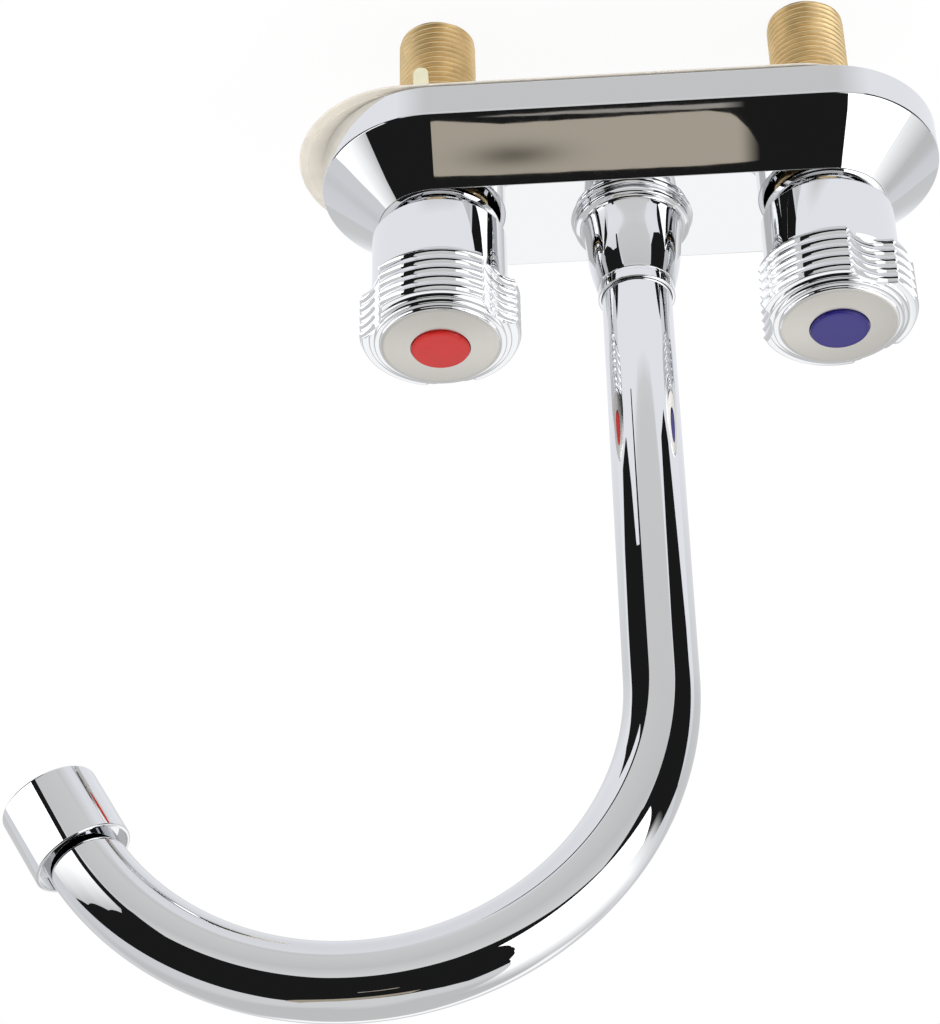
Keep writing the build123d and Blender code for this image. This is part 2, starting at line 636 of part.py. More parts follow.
def cartridge_body(x):
    """Brass cartridge: windowed cage round the discs, bearing bore and hexagon bonnet."""
    body = disc(CARTRIDGE_RADIUS, FIXED_DISC_BOTTOM, NECK_TOP)
    hexagon = RegularPolygon(BONNET_HALF_FLATS, 6, major_radius=False)
    bonnet = extrude(at_z(NECK_TOP) * hexagon, BONNET_HEIGHT)
    body += bonnet & disc(BONNET_HALF_FLATS + BONNET_CORNER, NECK_TOP, BONNET_TOP)
    body -= disc(DISC_RADIUS + SLIP, FIXED_DISC_BOTTOM, CAGE_TOP)
    body -= disc(STEM_RADIUS + RUNNING, CAGE_TOP, BONNET_TOP)
    sill = MOVING_DISC_BOTTOM + WINDOW_EDGE
    head = CAGE_TOP - WINDOW_EDGE
    window = Box(3 * CARTRIDGE_RADIUS, WINDOW_WIDTH, head - sill)
    body -= Pos(0, 0, (sill + head) / 2) * window
    body -= groove(CARTRIDGE_RADIUS, CARTRIDGE_ORING_Z, ORING_SECTION)
    return Pos(x, 0, 0) * body


def cartridge_orings():
    """Two O-rings that seal the cartridges in the barrels."""
    ring = o_ring(CHAMBER_RADIUS, CARTRIDGE_ORING_Z, ORING_SECTION)
    return Compound(children=[Pos(x, 0, 0) * ring for x in SIDES.values()])


def stem(x):
    """Brass stem: foot that drives the moving disc, bearing shaft and splined end."""
    part = disc(STEM_FOOT_RADIUS, STEM_BOTTOM, STEM_BOTTOM + STEM_FOOT_HEIGHT)
    part += disc(STEM_RADIUS, STEM_BOTTOM, SPLINE_BOTTOM)
    part += disc(SPLINE_RADIUS, SPLINE_BOTTOM, STEM_TOP)
    part -= disc(SCREW_RADIUS, SCREW_SEAT - SCREW_LENGTH, STEM_TOP)
    part -= groove(STEM_RADIUS, STEM_ORING_Z, STEM_ORING_SECTION)
    return Pos(x, 0, 0) * part


def stem_oring(x):
    """O-ring that seals the stem in the cartridge."""
    outer = STEM_RADIUS + RUNNING - SEAL_GAP
    return Pos(x, 0, 0) * o_ring(outer, STEM_ORING_Z, STEM_ORING_SECTION)


def stem_clip(x):
    """Wire clip that keeps the stem from dropping out of the cartridge."""
    bottom = BONNET_TOP + FACE_GAP
    return pipe(STEM_RADIUS + CLIP_WIDTH, STEM_RADIUS, bottom, bottom + CLIP_HEIGHT, x)


for make in (
    base_gasket,
    deck_cover,
    cover_nuts,
    cross_tubes,
    cartridge_orings,
    spout_hub,
    spout_nut,
    spout_glide_ring,
    swivel_insert,
    spout_orings,
    gooseneck_tube,
    outlet_adapter,
    aerator_washer,
    aerator_shell,
    aerator_core,
    aerator_screen,
):
    write(make.__name__, make())

for side, x in SIDES.items():
    for make in (
        valve_body,
        seat_seal,
        cartridge_body,
        stem,
        stem_oring,
        stem_clip,
        handle_screw,
        index_button,
    ):
        write(f"{side}_{make.__name__}", make(x))
    write(f"{side}_fixed_disc", ported_disc(x, FIXED_DISC_BOTTOM, 0))
    write(f"{side}_moving_disc", ported_disc(x, MOVING_DISC_BOTTOM, 90))
    write(f"{side}_knob", knob(x, SCALLOP_PHASE[side]))
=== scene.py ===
"""Centerset bathroom faucet: visible pieces, finishes and studio, laid over the solid model.

Lengths are in metres in the model's own frame: the origin lies on the deck face between
the two supply shanks, the hot side is at -X, the cold side at +X, and Z points up.
"""

import json
import math

import bmesh
import bpy
from bpy.props import FloatProperty, FloatVectorProperty, IntProperty, PointerProperty, StringProperty
from mathutils import Matrix, Vector

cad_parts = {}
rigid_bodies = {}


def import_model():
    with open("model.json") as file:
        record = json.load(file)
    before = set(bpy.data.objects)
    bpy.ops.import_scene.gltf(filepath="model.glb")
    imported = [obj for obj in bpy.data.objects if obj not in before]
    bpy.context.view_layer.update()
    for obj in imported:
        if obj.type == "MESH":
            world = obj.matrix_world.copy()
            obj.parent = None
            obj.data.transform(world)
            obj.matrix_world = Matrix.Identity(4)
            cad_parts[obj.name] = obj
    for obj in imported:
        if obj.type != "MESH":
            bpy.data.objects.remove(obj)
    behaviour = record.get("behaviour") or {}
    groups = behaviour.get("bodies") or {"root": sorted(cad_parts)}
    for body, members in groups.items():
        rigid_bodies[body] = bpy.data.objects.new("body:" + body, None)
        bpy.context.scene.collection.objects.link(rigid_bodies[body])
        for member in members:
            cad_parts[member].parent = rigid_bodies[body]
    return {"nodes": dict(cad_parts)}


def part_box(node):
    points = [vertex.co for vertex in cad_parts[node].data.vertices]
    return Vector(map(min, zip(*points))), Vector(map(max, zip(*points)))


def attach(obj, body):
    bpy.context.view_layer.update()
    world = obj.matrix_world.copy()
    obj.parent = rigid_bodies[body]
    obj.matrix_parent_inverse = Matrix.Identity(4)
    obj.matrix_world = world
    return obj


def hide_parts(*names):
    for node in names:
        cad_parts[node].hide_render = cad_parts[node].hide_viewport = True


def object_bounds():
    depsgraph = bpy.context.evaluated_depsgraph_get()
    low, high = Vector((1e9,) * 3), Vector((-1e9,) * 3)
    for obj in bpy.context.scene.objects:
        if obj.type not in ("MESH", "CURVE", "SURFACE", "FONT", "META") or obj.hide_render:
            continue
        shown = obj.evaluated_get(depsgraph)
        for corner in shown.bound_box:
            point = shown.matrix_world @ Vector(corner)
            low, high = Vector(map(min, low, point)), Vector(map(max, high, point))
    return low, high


bl_info = {
    "name": "Centerset faucet",
    "version": (1, 0, 0),
    "blender": (4, 5, 0),
    "location": "3D View > Sidebar > Faucet",
    "description": "Builds the visible pieces, finishes and studio of a centerset bathroom faucet",
    "category": "Object",
}

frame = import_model()
CAD_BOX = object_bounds()
MM = 0.001
SIDES = ("hot", "cold")
WHITE = (1.0, 1.0, 1.0)


def radius_of(node):
    """Half the width of an upright round node, taken along Y."""
    low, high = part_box(node)
    return (high.y - low.y) / 2


def bottom_of(node):
    """Lowest height of a node."""
    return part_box(node)[0].z


def top_of(node):
    """Greatest height of a node."""
    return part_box(node)[1].z


def axis_x(node):
    """Middle of a node along X."""
    low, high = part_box(node)
    return (low.x + high.x) / 2


# Steps between touching pieces, and the studio's fixed places
BOSS_RISE = 3.4 * MM
BARREL_STEP = 1.25 * MM
HUB_WALL = 2.0 * MM
COLLAR_OVERLAP = 3.4 * MM
SCALLOP_HALF_ANGLE = 19
BEND_MIDDLE = Vector((-60 * MM, 0, 150 * MM))
MIRROR_FLOOR = -120 * MM
HIGH_FLOOR = -60 * MM

# Places and radii read from the frame
VALVE_X = {side: axis_x(f"{side}_index_button") for side in SIDES}
TUBE_RADIUS = radius_of("gooseneck_tube")
COVER_HALF_WIDTH = min(radius_of("deck_cover"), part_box("deck_cover")[1].x - VALVE_X["cold"])
COVER_BASE = bottom_of("deck_cover")
VALVE_BOSS_TOP = bottom_of("cover_nuts")
SPOUT_BOSS_TOP = bottom_of("spout_nut")
NECK_TOP = top_of("hot_valve_body")
COVER_TOP = VALVE_BOSS_TOP - BOSS_RISE
NECK_RADIUS = radius_of("hot_valve_body") - BARREL_STEP
HUB_NECK_RADIUS = TUBE_RADIUS + HUB_WALL
GASKET_RADIUS = radius_of("base_gasket")
GASKET_MIDDLE = axis_x("base_gasket")


class FaucetSizes(bpy.types.PropertyGroup):
    """Sizes of the visible pieces."""

    bend_radius: FloatProperty(
        name="Bend radius", description="Radius of the gooseneck's centre line",
        default=72.5 * MM, unit="LENGTH")
    bend_sweep: FloatProperty(
        name="Bend sweep", description="Angle that the gooseneck turns through",
        default=math.radians(149.5), subtype="ANGLE")
    tube_wall: FloatProperty(
        name="Tube wall", description="Wall of the spout tube", default=1.0 * MM, unit="LENGTH")
    rim_height: FloatProperty(
        name="Rim height", description="Upright edge of the deck cover", default=10.0 * MM, unit="LENGTH")
    top_half_width: FloatProperty(
        name="Top half width", description="Half the width of the cover's flat top",
        default=16.2 * MM, unit="LENGTH")
    cover_wall: FloatProperty(
        name="Cover wall", description="Wall of the deck cover", default=1.8 * MM, unit="LENGTH")
    boss_radius: FloatProperty(
        name="Boss radius", description="Radius of the cover's raised bosses at their foot",
        default=16.0 * MM, unit="LENGTH")
    boss_slope: FloatProperty(
        name="Boss slope", description="How far a boss draws in for each length that it rises",
        default=0.65)
    shank_radius: FloatProperty(
        name="Shank radius", description="Outer radius of the half inch pipe thread",
        default=20.955 / 2 * MM, unit="LENGTH")
    thread_pitch: FloatProperty(
        name="Thread pitch", description="Pitch of the half inch pipe thread, 14 to the inch",
        default=25.4 / 14 * MM, unit="LENGTH")
    thread_depth: FloatProperty(
        name="Thread depth", description="Depth of the half inch pipe thread",
        default=1.0 * MM, unit="LENGTH")
    skirt_height: FloatProperty(
        name="Skirt height", description="Height of a knob's round skirt", default=18.0 * MM, unit="LENGTH")
    skirt_wall: FloatProperty(
        name="Skirt wall", description="Wall of a knob's skirt", default=1.5 * MM, unit="LENGTH")
    grip_standoff: FloatProperty(
        name="Grip standoff", description="How far a knob's grip stands out from its skirt",
        default=3.1 * MM, unit="LENGTH")
    grip_height: FloatProperty(
        name="Grip height", description="Height of a knob's fluted grip", default=14.2 * MM, unit="LENGTH")
    ring_pitch: FloatProperty(
        name="Grip ring pitch", description="Height from one sharp grip ring to the next",
        default=2.8 * MM, unit="LENGTH")
    first_ring: FloatProperty(
        name="First grip ring", description="Height of the lowest sharp ring above the skirt",
        default=1.6 * MM, unit="LENGTH")
    flute_depth: FloatProperty(
        name="Flute depth", description="Depth of the hollows between the grip rings",
        default=0.53 * MM, unit="LENGTH")
    ring_count: IntProperty(name="Grip rings", description="Grip rings on a knob", default=5, min=1)
    scallop_depth: FloatProperty(
        name="Scallop depth", description="Depth of the three finger scallops of a knob",
        default=3.2 * MM, unit="LENGTH")
    terrace_step: FloatProperty(
        name="Terrace step", description="How far each terrace draws in", default=1.3 * MM, unit="LENGTH")
    terrace_height: FloatProperty(
        name="Terrace height", description="Height of each terrace", default=0.77 * MM, unit="LENGTH")
    face_inset: FloatProperty(
        name="Face inset", description="How far a knob's face lies inside its skirt's radius",
        default=1.9 * MM, unit="LENGTH")
    screw_length: FloatProperty(
        name="Screw length", description="Length of the handle screw under its head",
        default=10.0 * MM, unit="LENGTH")
    mesh_pitch: FloatProperty(
        name="Screen pitch", description="Wire spacing of the aerator's screen",
        default=0.8 * MM, unit="LENGTH")


class FaucetColours(bpy.types.PropertyGroup):
    """Colours as sRGB hex values."""

    chrome: StringProperty(name="Chrome", description="Chromium plate", default="#E8E9EB")
    satin: StringProperty(name="Satin chrome", description="Chromium over a satin face", default="#DBD8D2")
    brass: StringProperty(name="Brass", description="Machined brass", default="#FFE2AC")
    cast_brass: StringProperty(name="Cast brass", description="Sand cast brass", default="#C29A58")
    gasket: StringProperty(name="Gasket", description="Moulded polypropylene", default="#E6DFD1")
    tab: StringProperty(name="Tab", description="Unpigmented polypropylene", default="#F6F3D3")
    red: StringProperty(name="Red index", description="Hot button", default="#B8150F")
    blue: StringProperty(name="Blue index", description="Cold button", default="#1F1668")
    acetal: StringProperty(name="Acetal", description="Moulded white acetal", default="#EDEDE8")
    rubber: StringProperty(name="Rubber", description="Nitrile rubber", default="#161616")
    alumina: StringProperty(name="Alumina", description="Lapped ceramic", default="#F1EFE8")
    steel: StringProperty(name="Steel", description="Stainless steel", default="#B9BABC")


class FaucetStudio(bpy.types.PropertyGroup):
    """Camera and lights of the studio."""

    camera_place: FloatVectorProperty(
        name="Camera place", description="Where the camera stands",
        default=(-15.139 * MM, 530.847 * MM, 471.61 * MM), subtype="TRANSLATION", unit="LENGTH")
    camera_pitch: FloatProperty(
        name="Camera pitch", description="How far the camera looks down",
        default=math.radians(33.928), subtype="ANGLE")
    camera_yaw: FloatProperty(
        name="Camera yaw", description="Turn of the camera about the vertical",
        default=math.radians(-3.114), subtype="ANGLE")
    camera_roll: FloatProperty(
        name="Camera roll", description="Turn of the camera about its own axis",
        default=math.radians(-1.0167), subtype="ANGLE")
    camera_lens: FloatProperty(
        name="Focal length", description="Focal length on a 36 mm sensor", default=92.08)
    wall_level: FloatProperty(
        name="Wall level", description="Brightness of the studio's pale walls", default=0.74)
    floor_level: FloatProperty(
        name="Floor level", description="Brightness of the floor as metal shows it", default=0.92)
    softbox_level: FloatProperty(
        name="Softbox level", description="Brightness of the softboxes as metal shows them", default=1.7)


def linear(hex_colour):
    """Linear RGBA of an sRGB hex colour."""
    parts = [int(hex_colour[i : i + 2], 16) / 255 for i in (1, 3, 5)]
    return [p / 12.92 if p <= 0.04045 else ((p + 0.055) / 1.055) ** 2.4 for p in parts] + [1.0]


def add(tree, kind, inputs=None, **settings_of_node):
    """One shader node with its settings, input values and links."""
    node = tree.nodes.new(kind)
    for name, value in settings_of_node.items():
        setattr(node, name, value)
    for name, value in (inputs or {}).items():
        if isinstance(value, bpy.types.NodeSocket):
            tree.links.new(value, node.inputs[name])
        else:
            node.inputs[name].default_value = value
    return node


def finish_colour(name):
    """Linear RGBA of one of the panel's colours."""
    return linear(getattr(bpy.context.scene.faucet_colours, name))


def new_material(name):
    """Empty material, whose tree the nodes go into."""
    material = bpy.data.materials.new(name)
    material.use_nodes = True
    material.node_tree.nodes.clear()
    return material


def surface(tree, inputs):
    """Principled shader joined to the material's output."""
    shader = add(tree, "ShaderNodeBsdfPrincipled", inputs)
    add(tree, "ShaderNodeOutputMaterial", {"Surface": shader.outputs["BSDF"]})


def noise(tree, grain, detail=3.0, stretch=(1.0, 1.0, 1.0)):
    """A 0 to 1 factor whose blotches are about one grain across."""
    place = add(tree, "ShaderNodeTexCoord")
    scaled = add(tree, "ShaderNodeMapping", {"Vector": place.outputs["Object"], "Scale": stretch})
    blotches = add(tree, "ShaderNodeTexNoise",
                   {"Vector": scaled.outputs["Vector"], "Scale": 1 / grain, "Detail": detail})
    return blotches.outputs["Fac"]


def between(tree, factor, low, high):
    """A number that follows a 0 to 1 factor from low to high."""
    node = add(tree, "ShaderNodeMapRange", {"Value": factor, "To Min": low, "To Max": high})
    return node.outputs["Result"]


def shaded(tree, factor, dark, light):
    """Colour that goes from dark to light as the factor rises through its middle."""
    ramp = add(tree, "ShaderNodeValToRGB", {"Fac": factor})
    first, last = ramp.color_ramp.elements
    first.position, first.color = 0.35, dark
    last.position, last.color = 0.65, light
    return ramp.outputs["Color"]


def relief(tree, height, depth, strength):
    """Bump of a real depth."""
    node = add(tree, "ShaderNodeBump", {"Height": height, "Distance": depth, "Strength": strength})
    return node.outputs["Normal"]


def tinted(colour, share):
    """The same colour with its light scaled by a share."""
    return [c * share for c in colour[:3]] + [1.0]


def electroplated_chrome():
    """Chromium over polished brass: a mirror with a faint ripple left by the polishing wheel."""
    tree = new_material("electroplated_chrome").node_tree
    ripple = noise(tree, 9 * MM, detail=1.0)
    haze = noise(tree, 3 * MM, detail=4.0)
    surface(tree, {
        "Base Color": finish_colour("chrome"),
        "Metallic": 1.0,
        "Roughness": between(tree, haze, 0.004, 0.018),
        "Normal": relief(tree, ripple, 0.02 * MM, strength=0.06),
    })


def satin_chrome():
    """Chromium over a fine satin face: the same metal, greyer, with blurred reflections."""
    tree = new_material("satin_chrome").node_tree
    grain = noise(tree, 1.2 * MM, detail=4.0)
    surface(tree, {
        "Base Color": finish_colour("satin"),
        "Metallic": 1.0,
        "Roughness": between(tree, grain, 0.26, 0.34),
        "Normal": relief(tree, grain, 0.004 * MM, strength=0.3),
    })


def brass(name, colour, grain, depth, roughness):
    """Brass with blotches of tarnish and a surface grain of a real size."""
    tree = new_material(name).node_tree
    tarnish = noise(tree, 5 * MM, detail=5.0)
    marks = noise(tree, grain)
    spread = 0.08
    surface(tree, {
        "Base Color": shaded(tree, tarnish, tinted(colour, 0.84), colour),
        "Metallic": 1.0,
        "Roughness": between(tree, marks, roughness - spread, roughness + spread),
        "Normal": relief(tree, marks, depth, strength=0.6),
    })


def machined_brass():
    """Brass off the lathe: bright, with fine tool marks that blur its reflections."""
    brass("machined_brass", finish_colour("brass"), grain=0.4 * MM, depth=0.01 * MM, roughness=0.38)


def sand_cast_brass():
    """Brass as cast: the sand's grit leaves a dull, rough skin."""
    brass("sand_cast_brass", finish_colour("cast_brass"), grain=0.8 * MM, depth=0.08 * MM, roughness=0.55)


def moulded(name, colour, roughness):
    """Material pressed in a mould: even colour, soft sheen and a very fine texture."""
    tree = new_material(name).node_tree
    cloud = noise(tree, 6 * MM, detail=2.0)
    grain = noise(tree, 0.5 * MM, detail=2.0)
    spread = 0.05
    surface(tree, {
        "Base Color": shaded(tree, cloud, tinted(colour, 0.93), colour),
        "Roughness": between(tree, grain, roughness - spread, roughness + spread),
        "IOR": 1.49,
        "Normal": relief(tree, grain, 0.01 * MM, strength=0.3),
    })


def gasket_polypropylene():
    """Pigmented polypropylene: a waxy beige with a soft sheen."""
    moulded("moulded_polypropylene_beige", finish_colour("gasket"), 0.42)


def tab_polypropylene():
    """Natural polypropylene: paler than the plate and slightly waxy."""
    moulded("moulded_polypropylene_natural", finish_colour("tab"), 0.38)


def index_acrylic(tint):
    """Tinted acrylic with a smooth face, which gives a soft highlight on its rolled edge."""
    moulded(f"tinted_acrylic_{tint}", finish_colour(tint), 0.22)


def acetal():
    """White acetal: opaque, smooth and faintly slippery."""
    moulded("moulded_acetal_white", finish_colour("acetal"), 0.35)


def nitrile_rubber():
    """Moulded nitrile rubber: near black, matt, with a light bloom."""
    tree = new_material("moulded_nitrile_rubber").node_tree
    colour = finish_colour("rubber")
    bloom = noise(tree, 1.5 * MM, detail=4.0)
    surface(tree, {
        "Base Color": shaded(tree, bloom, colour, tinted(colour, 2)),
        "Roughness": between(tree, bloom, 0.55, 0.8),
        "IOR": 1.52,
    })


def lapped_alumina():
    """Sintered alumina, lapped flat: white with a fine glassy sheen."""
    moulded("lapped_alumina", finish_colour("alumina"), 0.15)


def drawn_stainless():
    """Drawn stainless wire and turned screws: bright with lengthwise draw marks."""
    tree = new_material("drawn_stainless_steel").node_tree
    marks = noise(tree, 0.6 * MM, stretch=(1.0, 1.0, 0.1))
    surface(tree, {
        "Base Color": finish_colour("steel"),
        "Metallic": 1.0,
        "Roughness": between(tree, marks, 0.2, 0.34),
    })


def softened(outline, radii, steps=5):
    """Outline whose corners are rounded by the given radii, one for each point."""
    made = []
    count = len(outline)
    for i, (point, radius) in enumerate(zip(outline, radii)):
        here = Vector(point)
        if radius <= 0:
            made.append(here)
            continue
        before = Vector(outline[i - 1]) - here
        after = Vector(outline[(i + 1) % count]) - here
        half = before.angle(after) / 2
        reach = radius / math.tan(half)
        start = here + before.normalized() * reach
        end = here + after.normalized() * reach
        centre = here + (before.normalized() + after.normalized()).normalized() * radius / math.sin(half)
        first = start - centre
        turn = first.angle_signed(end - centre)
        for k in range(steps + 1):
            made.append(centre + Matrix.Rotation(-turn * k / steps, 2) @ first)
    return [(p.x, p.y) for p in made]


def arc(first, last, steps):
    """Angles in radians at equal steps from the first to the last, both given in degrees."""
    return [math.radians(first + (last - first) * k / steps) for k in range(steps + 1)]


def around(radius, angle, z, x=0.0):
    """Point at a radius and an angle round the upright axis at x."""
    return Vector((x + radius * math.cos(angle), radius * math.sin(angle), z))


def circle_ring(radius, z, count, x=0.0):
    """Level ring of points."""
    turn = 2 * math.pi / count
    return [around(radius, turn * k, z, x) for k in range(count)]


def long_ring(radius, cold_end, hot_end, z, steps):
    """Level ring of two half circles that are centred on two places along X."""
    points = []
    for centre, first in ((cold_end, -90), (hot_end, 90)):
        for angle in arc(first, first + 180, steps):
            points.append(around(radius, angle, z, centre))
    return points


def stadium_ring(radius, z, shift=0.0):
    """Level ring of the long outline, whose round ends are centred on the shanks."""
    return long_ring(radius, VALVE_X["cold"] + shift, VALVE_X["hot"] + shift, z, 48)


def strip(mesh, lower, upper):
    """Quads between two rings of equal length, facing out where the rings run counterclockwise."""
    count = len(lower)
    for k in range(count):
        following = (k + 1) % count
        mesh.faces.new((lower[k], lower[following], upper[following], upper[k]))


def add_rings(mesh, rings, closed=False):
    """Surface through a list of rings."""
    made = [[mesh.verts.new(p) for p in ring] for ring in rings]
    pairs = list(zip(made, made[1:]))
    if closed:
        pairs.append((made[-1], made[0]))
    for lower, upper in pairs:
        strip(mesh, lower, upper)


def add_plate(mesh, outer, holes, facing_up):
    """Flat plate inside a ring, with holes."""
    edges = []
    for ring in [outer] + holes:
        verts = [mesh.verts.new(p) for p in ring]
        for k, vert in enumerate(verts):
            edges.append(mesh.edges.new((vert, verts[(k + 1) % len(verts)])))
    filled = bmesh.ops.triangle_fill(mesh, use_beauty=True, use_dissolve=False, edges=edges)
    for face in filled["geom"]:
        if isinstance(face, bmesh.types.BMFace):
            face.normal_update()
            if (face.normal.z > 0) != facing_up:
                face.normal_flip()


def placed(name, data):
    """New object in the scene."""
    made = bpy.data.objects.new(name, data)
    bpy.context.scene.collection.objects.link(made)
    return made


def piece(name, mesh, finish, body, replaced, sharp=40):
    """Finished object from a mesh: welded, smooth with crisp edges, and riding on its body."""
    bmesh.ops.remove_doubles(mesh, verts=mesh.verts, dist=0.001 * MM)
    bmesh.ops.recalc_face_normals(mesh, faces=mesh.faces)
    data = bpy.data.meshes.new(name)
    mesh.to_mesh(data)
    mesh.free()
    data.shade_smooth()
    data.set_sharp_from_angle(angle=math.radians(sharp))
    data.materials.append(bpy.data.materials[finish])
    made = placed(name, data)
    normals = made.modifiers.new("flat faces stay flat", "WEIGHTED_NORMAL")
    normals.keep_sharp = True
    normals.weight = 100
    if replaced:
        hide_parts(*replaced)
    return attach(made, body)


def lathe(outline, place=None, count=128):
    """Solid turned about Z from a closed outline of radius and height."""
    mesh = bmesh.new()
    add_rings(mesh, [circle_ring(r, z, count) for r, z in outline], closed=True)
    if place:
        mesh.transform(place)
    return mesh


def upright(x):
    """Placement on a vertical axis at x."""
    return Matrix.Translation((x, 0, 0))


def dress(node, finish):
    """Gives a carried-over solid its finish."""
    data = frame["nodes"][node].data
    data.materials.clear()
    data.materials.append(bpy.data.materials[finish])
    data.shade_smooth()
    data.set_sharp_from_angle(angle=math.radians(35))


def build_cover():
    """Plated shell: upright rim, sloped sides, flat top, three tapered bosses and a hollow inside."""
    sizes = bpy.context.scene.faucet_sizes
    wall, half_top = sizes.cover_wall, sizes.top_half_width
    top, half_width = COVER_TOP, COVER_HALF_WIDTH
    rim_top = COVER_BASE + sizes.rim_height
    foot_edge, rim_edge, top_edge = 0.5 * MM, 0.8 * MM, 0.3 * MM
    outer = softened([(half_width, COVER_BASE), (half_width, rim_top), (half_top, top), (0, top)],
                     [foot_edge, rim_edge, top_edge, 0], steps=6)[:-1]
    inner_top = top - wall
    slope = (half_width - half_top) / (top - rim_top)
    bend = rim_top - wall * 0.4
    inner = [(half_width - wall, COVER_BASE), (half_width - wall, bend),
             (half_width - wall - slope * (inner_top - bend), inner_top)]
    mesh = bmesh.new()
    add_rings(mesh, [stadium_ring(r, z) for r, z in inner[::-1] + outer])
    count, clearance = 96, 0.3 * MM
    valve_bore, spout_bore = NECK_RADIUS + clearance, HUB_NECK_RADIUS + clearance
    bosses = [(VALVE_X["hot"], VALVE_BOSS_TOP, valve_bore), (0.0, SPOUT_BOSS_TOP, spout_bore),
              (VALVE_X["cold"], VALVE_BOSS_TOP, valve_bore)]
    crown_edge, fullness, steps = 0.25 * MM, 0.6, 4
    for x, boss_top, bore in bosses:
        crown_radius = sizes.boss_radius - sizes.boss_slope * (boss_top - top)
        face = sizes.boss_radius - crown_radius
        profile = [(sizes.boss_radius - face * k / steps, top + face * math.sin(angle) * fullness)
                   for k, angle in enumerate(arc(0, 72, steps))]
        profile += softened([(crown_radius, profile[-1][1]), (crown_radius, boss_top), (bore, boss_top)],
                            [0, crown_edge, 0])[1:]
        add_rings(mesh, [circle_ring(r, z, count, x) for r, z in profile + [(bore, inner_top)]])
    add_plate(mesh, stadium_ring(outer[-1][0], top),
              [circle_ring(sizes.boss_radius, top, count, x) for x, _, _ in bosses], facing_up=True)
    add_plate(mesh, stadium_ring(inner[-1][0], inner_top),
              [circle_ring(bore, inner_top, count, x) for x, _, bore in bosses], facing_up=False)
    piece("deck_cover_shell", mesh, "electroplated_chrome", "base", ["deck_cover"],
          sharp=28)


def build_gasket():
    """Beige plate with a raised inner step and two slots, slid towards the hot side."""
    sizes = bpy.context.scene.faucet_sizes
    edge, top, shift = GASKET_RADIUS, COVER_BASE, GASKET_MIDDLE
    step, step_height, foot = 2.2 * MM, 0.4 * MM, 1 * MM
    shoulder = top - step_height
    outline = softened(
        [(edge - foot, 0), (edge, 0), (edge, shoulder), (edge - step, shoulder), (edge - step, top),
         (edge - 2 * step, top)],
        [0, 0.2 * MM, 0.35 * MM, 0.1 * MM, 0.15 * MM, 0])
    mesh = bmesh.new()
    add_rings(mesh, [stadium_ring(r, z, shift) for r, z in outline])
    slot_radius = sizes.shank_radius + 0.3 * MM

    def slot_ring(side, z):
        return long_ring(slot_radius, VALVE_X[side], VALVE_X[side] + 2 * shift, z, 24)

    for side in SIDES:
        add_rings(mesh, [slot_ring(side, z) for z in (top, 0)])
    for z, rim, up in ((0, outline[0][0], False), (top, outline[-1][0], True)):
        add_plate(mesh, stadium_ring(rim, z, shift), [slot_ring(side, z) for side in SIDES], up)
    piece("base_gasket_plate", mesh, "moulded_polypropylene_beige", "base", ["base_gasket"])


def threaded_rings(radius, depth, pitch, bottom, top, count):
    """Rings of a screw thread that fades out at both ends."""
    levels_per_turn = 12
    steepness, root_flat, worn = 1.35, 0.1, 0.25
    rings = []
    levels = int((top - bottom) / pitch * levels_per_turn)
    for level in range(levels + 1):
        z = bottom + (top - bottom) * level / levels
        fade = min(1.0, (z - bottom) / pitch, (top - z) / pitch)
        ring = []
        for k in range(count):
            angle = 2 * math.pi * k / count
            phase = (z / pitch - k / count) % 1.0
            height = min(1.0, max(0.0, steepness * abs(2 * phase - 1) - root_flat))
            r = radius - depth * (1 - height) - worn * depth * (1 - fade) * height
            ring.append(around(r, angle, z))
        rings.append(ring)
    return rings


def build_gasket_tab():
    """Cream tab behind the hot shank: a flat blade with a round tip and a slightly wider root."""
    half, root_half = 2.0 * MM, 2.4 * MM
    back, thickness = 16.0 * MM, 1.6 * MM
    root, edge = 0.5 * MM, 0.3 * MM
    centre = VALVE_X["hot"] - 3.5 * MM
    tip = bottom_of("base_gasket") + half
    blade = [(centre + root_half, root), (centre - root_half, root)]
    blade += [(centre - half * math.cos(angle), tip - half * math.sin(angle)) for angle in arc(0, 180, 16)]
    mesh = bmesh.new()
    face = mesh.faces.new([mesh.verts.new((x, back, z)) for x, z in blade])
    grown = bmesh.ops.extrude_face_region(mesh, geom=[face])
    moved = [v for v in grown["geom"] if isinstance(v, bmesh.types.BMVert)]
    bmesh.ops.translate(mesh, verts=moved, vec=(0, -thickness, 0))
    bmesh.ops.bevel(mesh, geom=mesh.edges[:], offset=edge, segments=3, affect="EDGES", profile=0.5)
    piece("base_gasket_tab", mesh, "moulded_polypropylene_natural", "base", [])


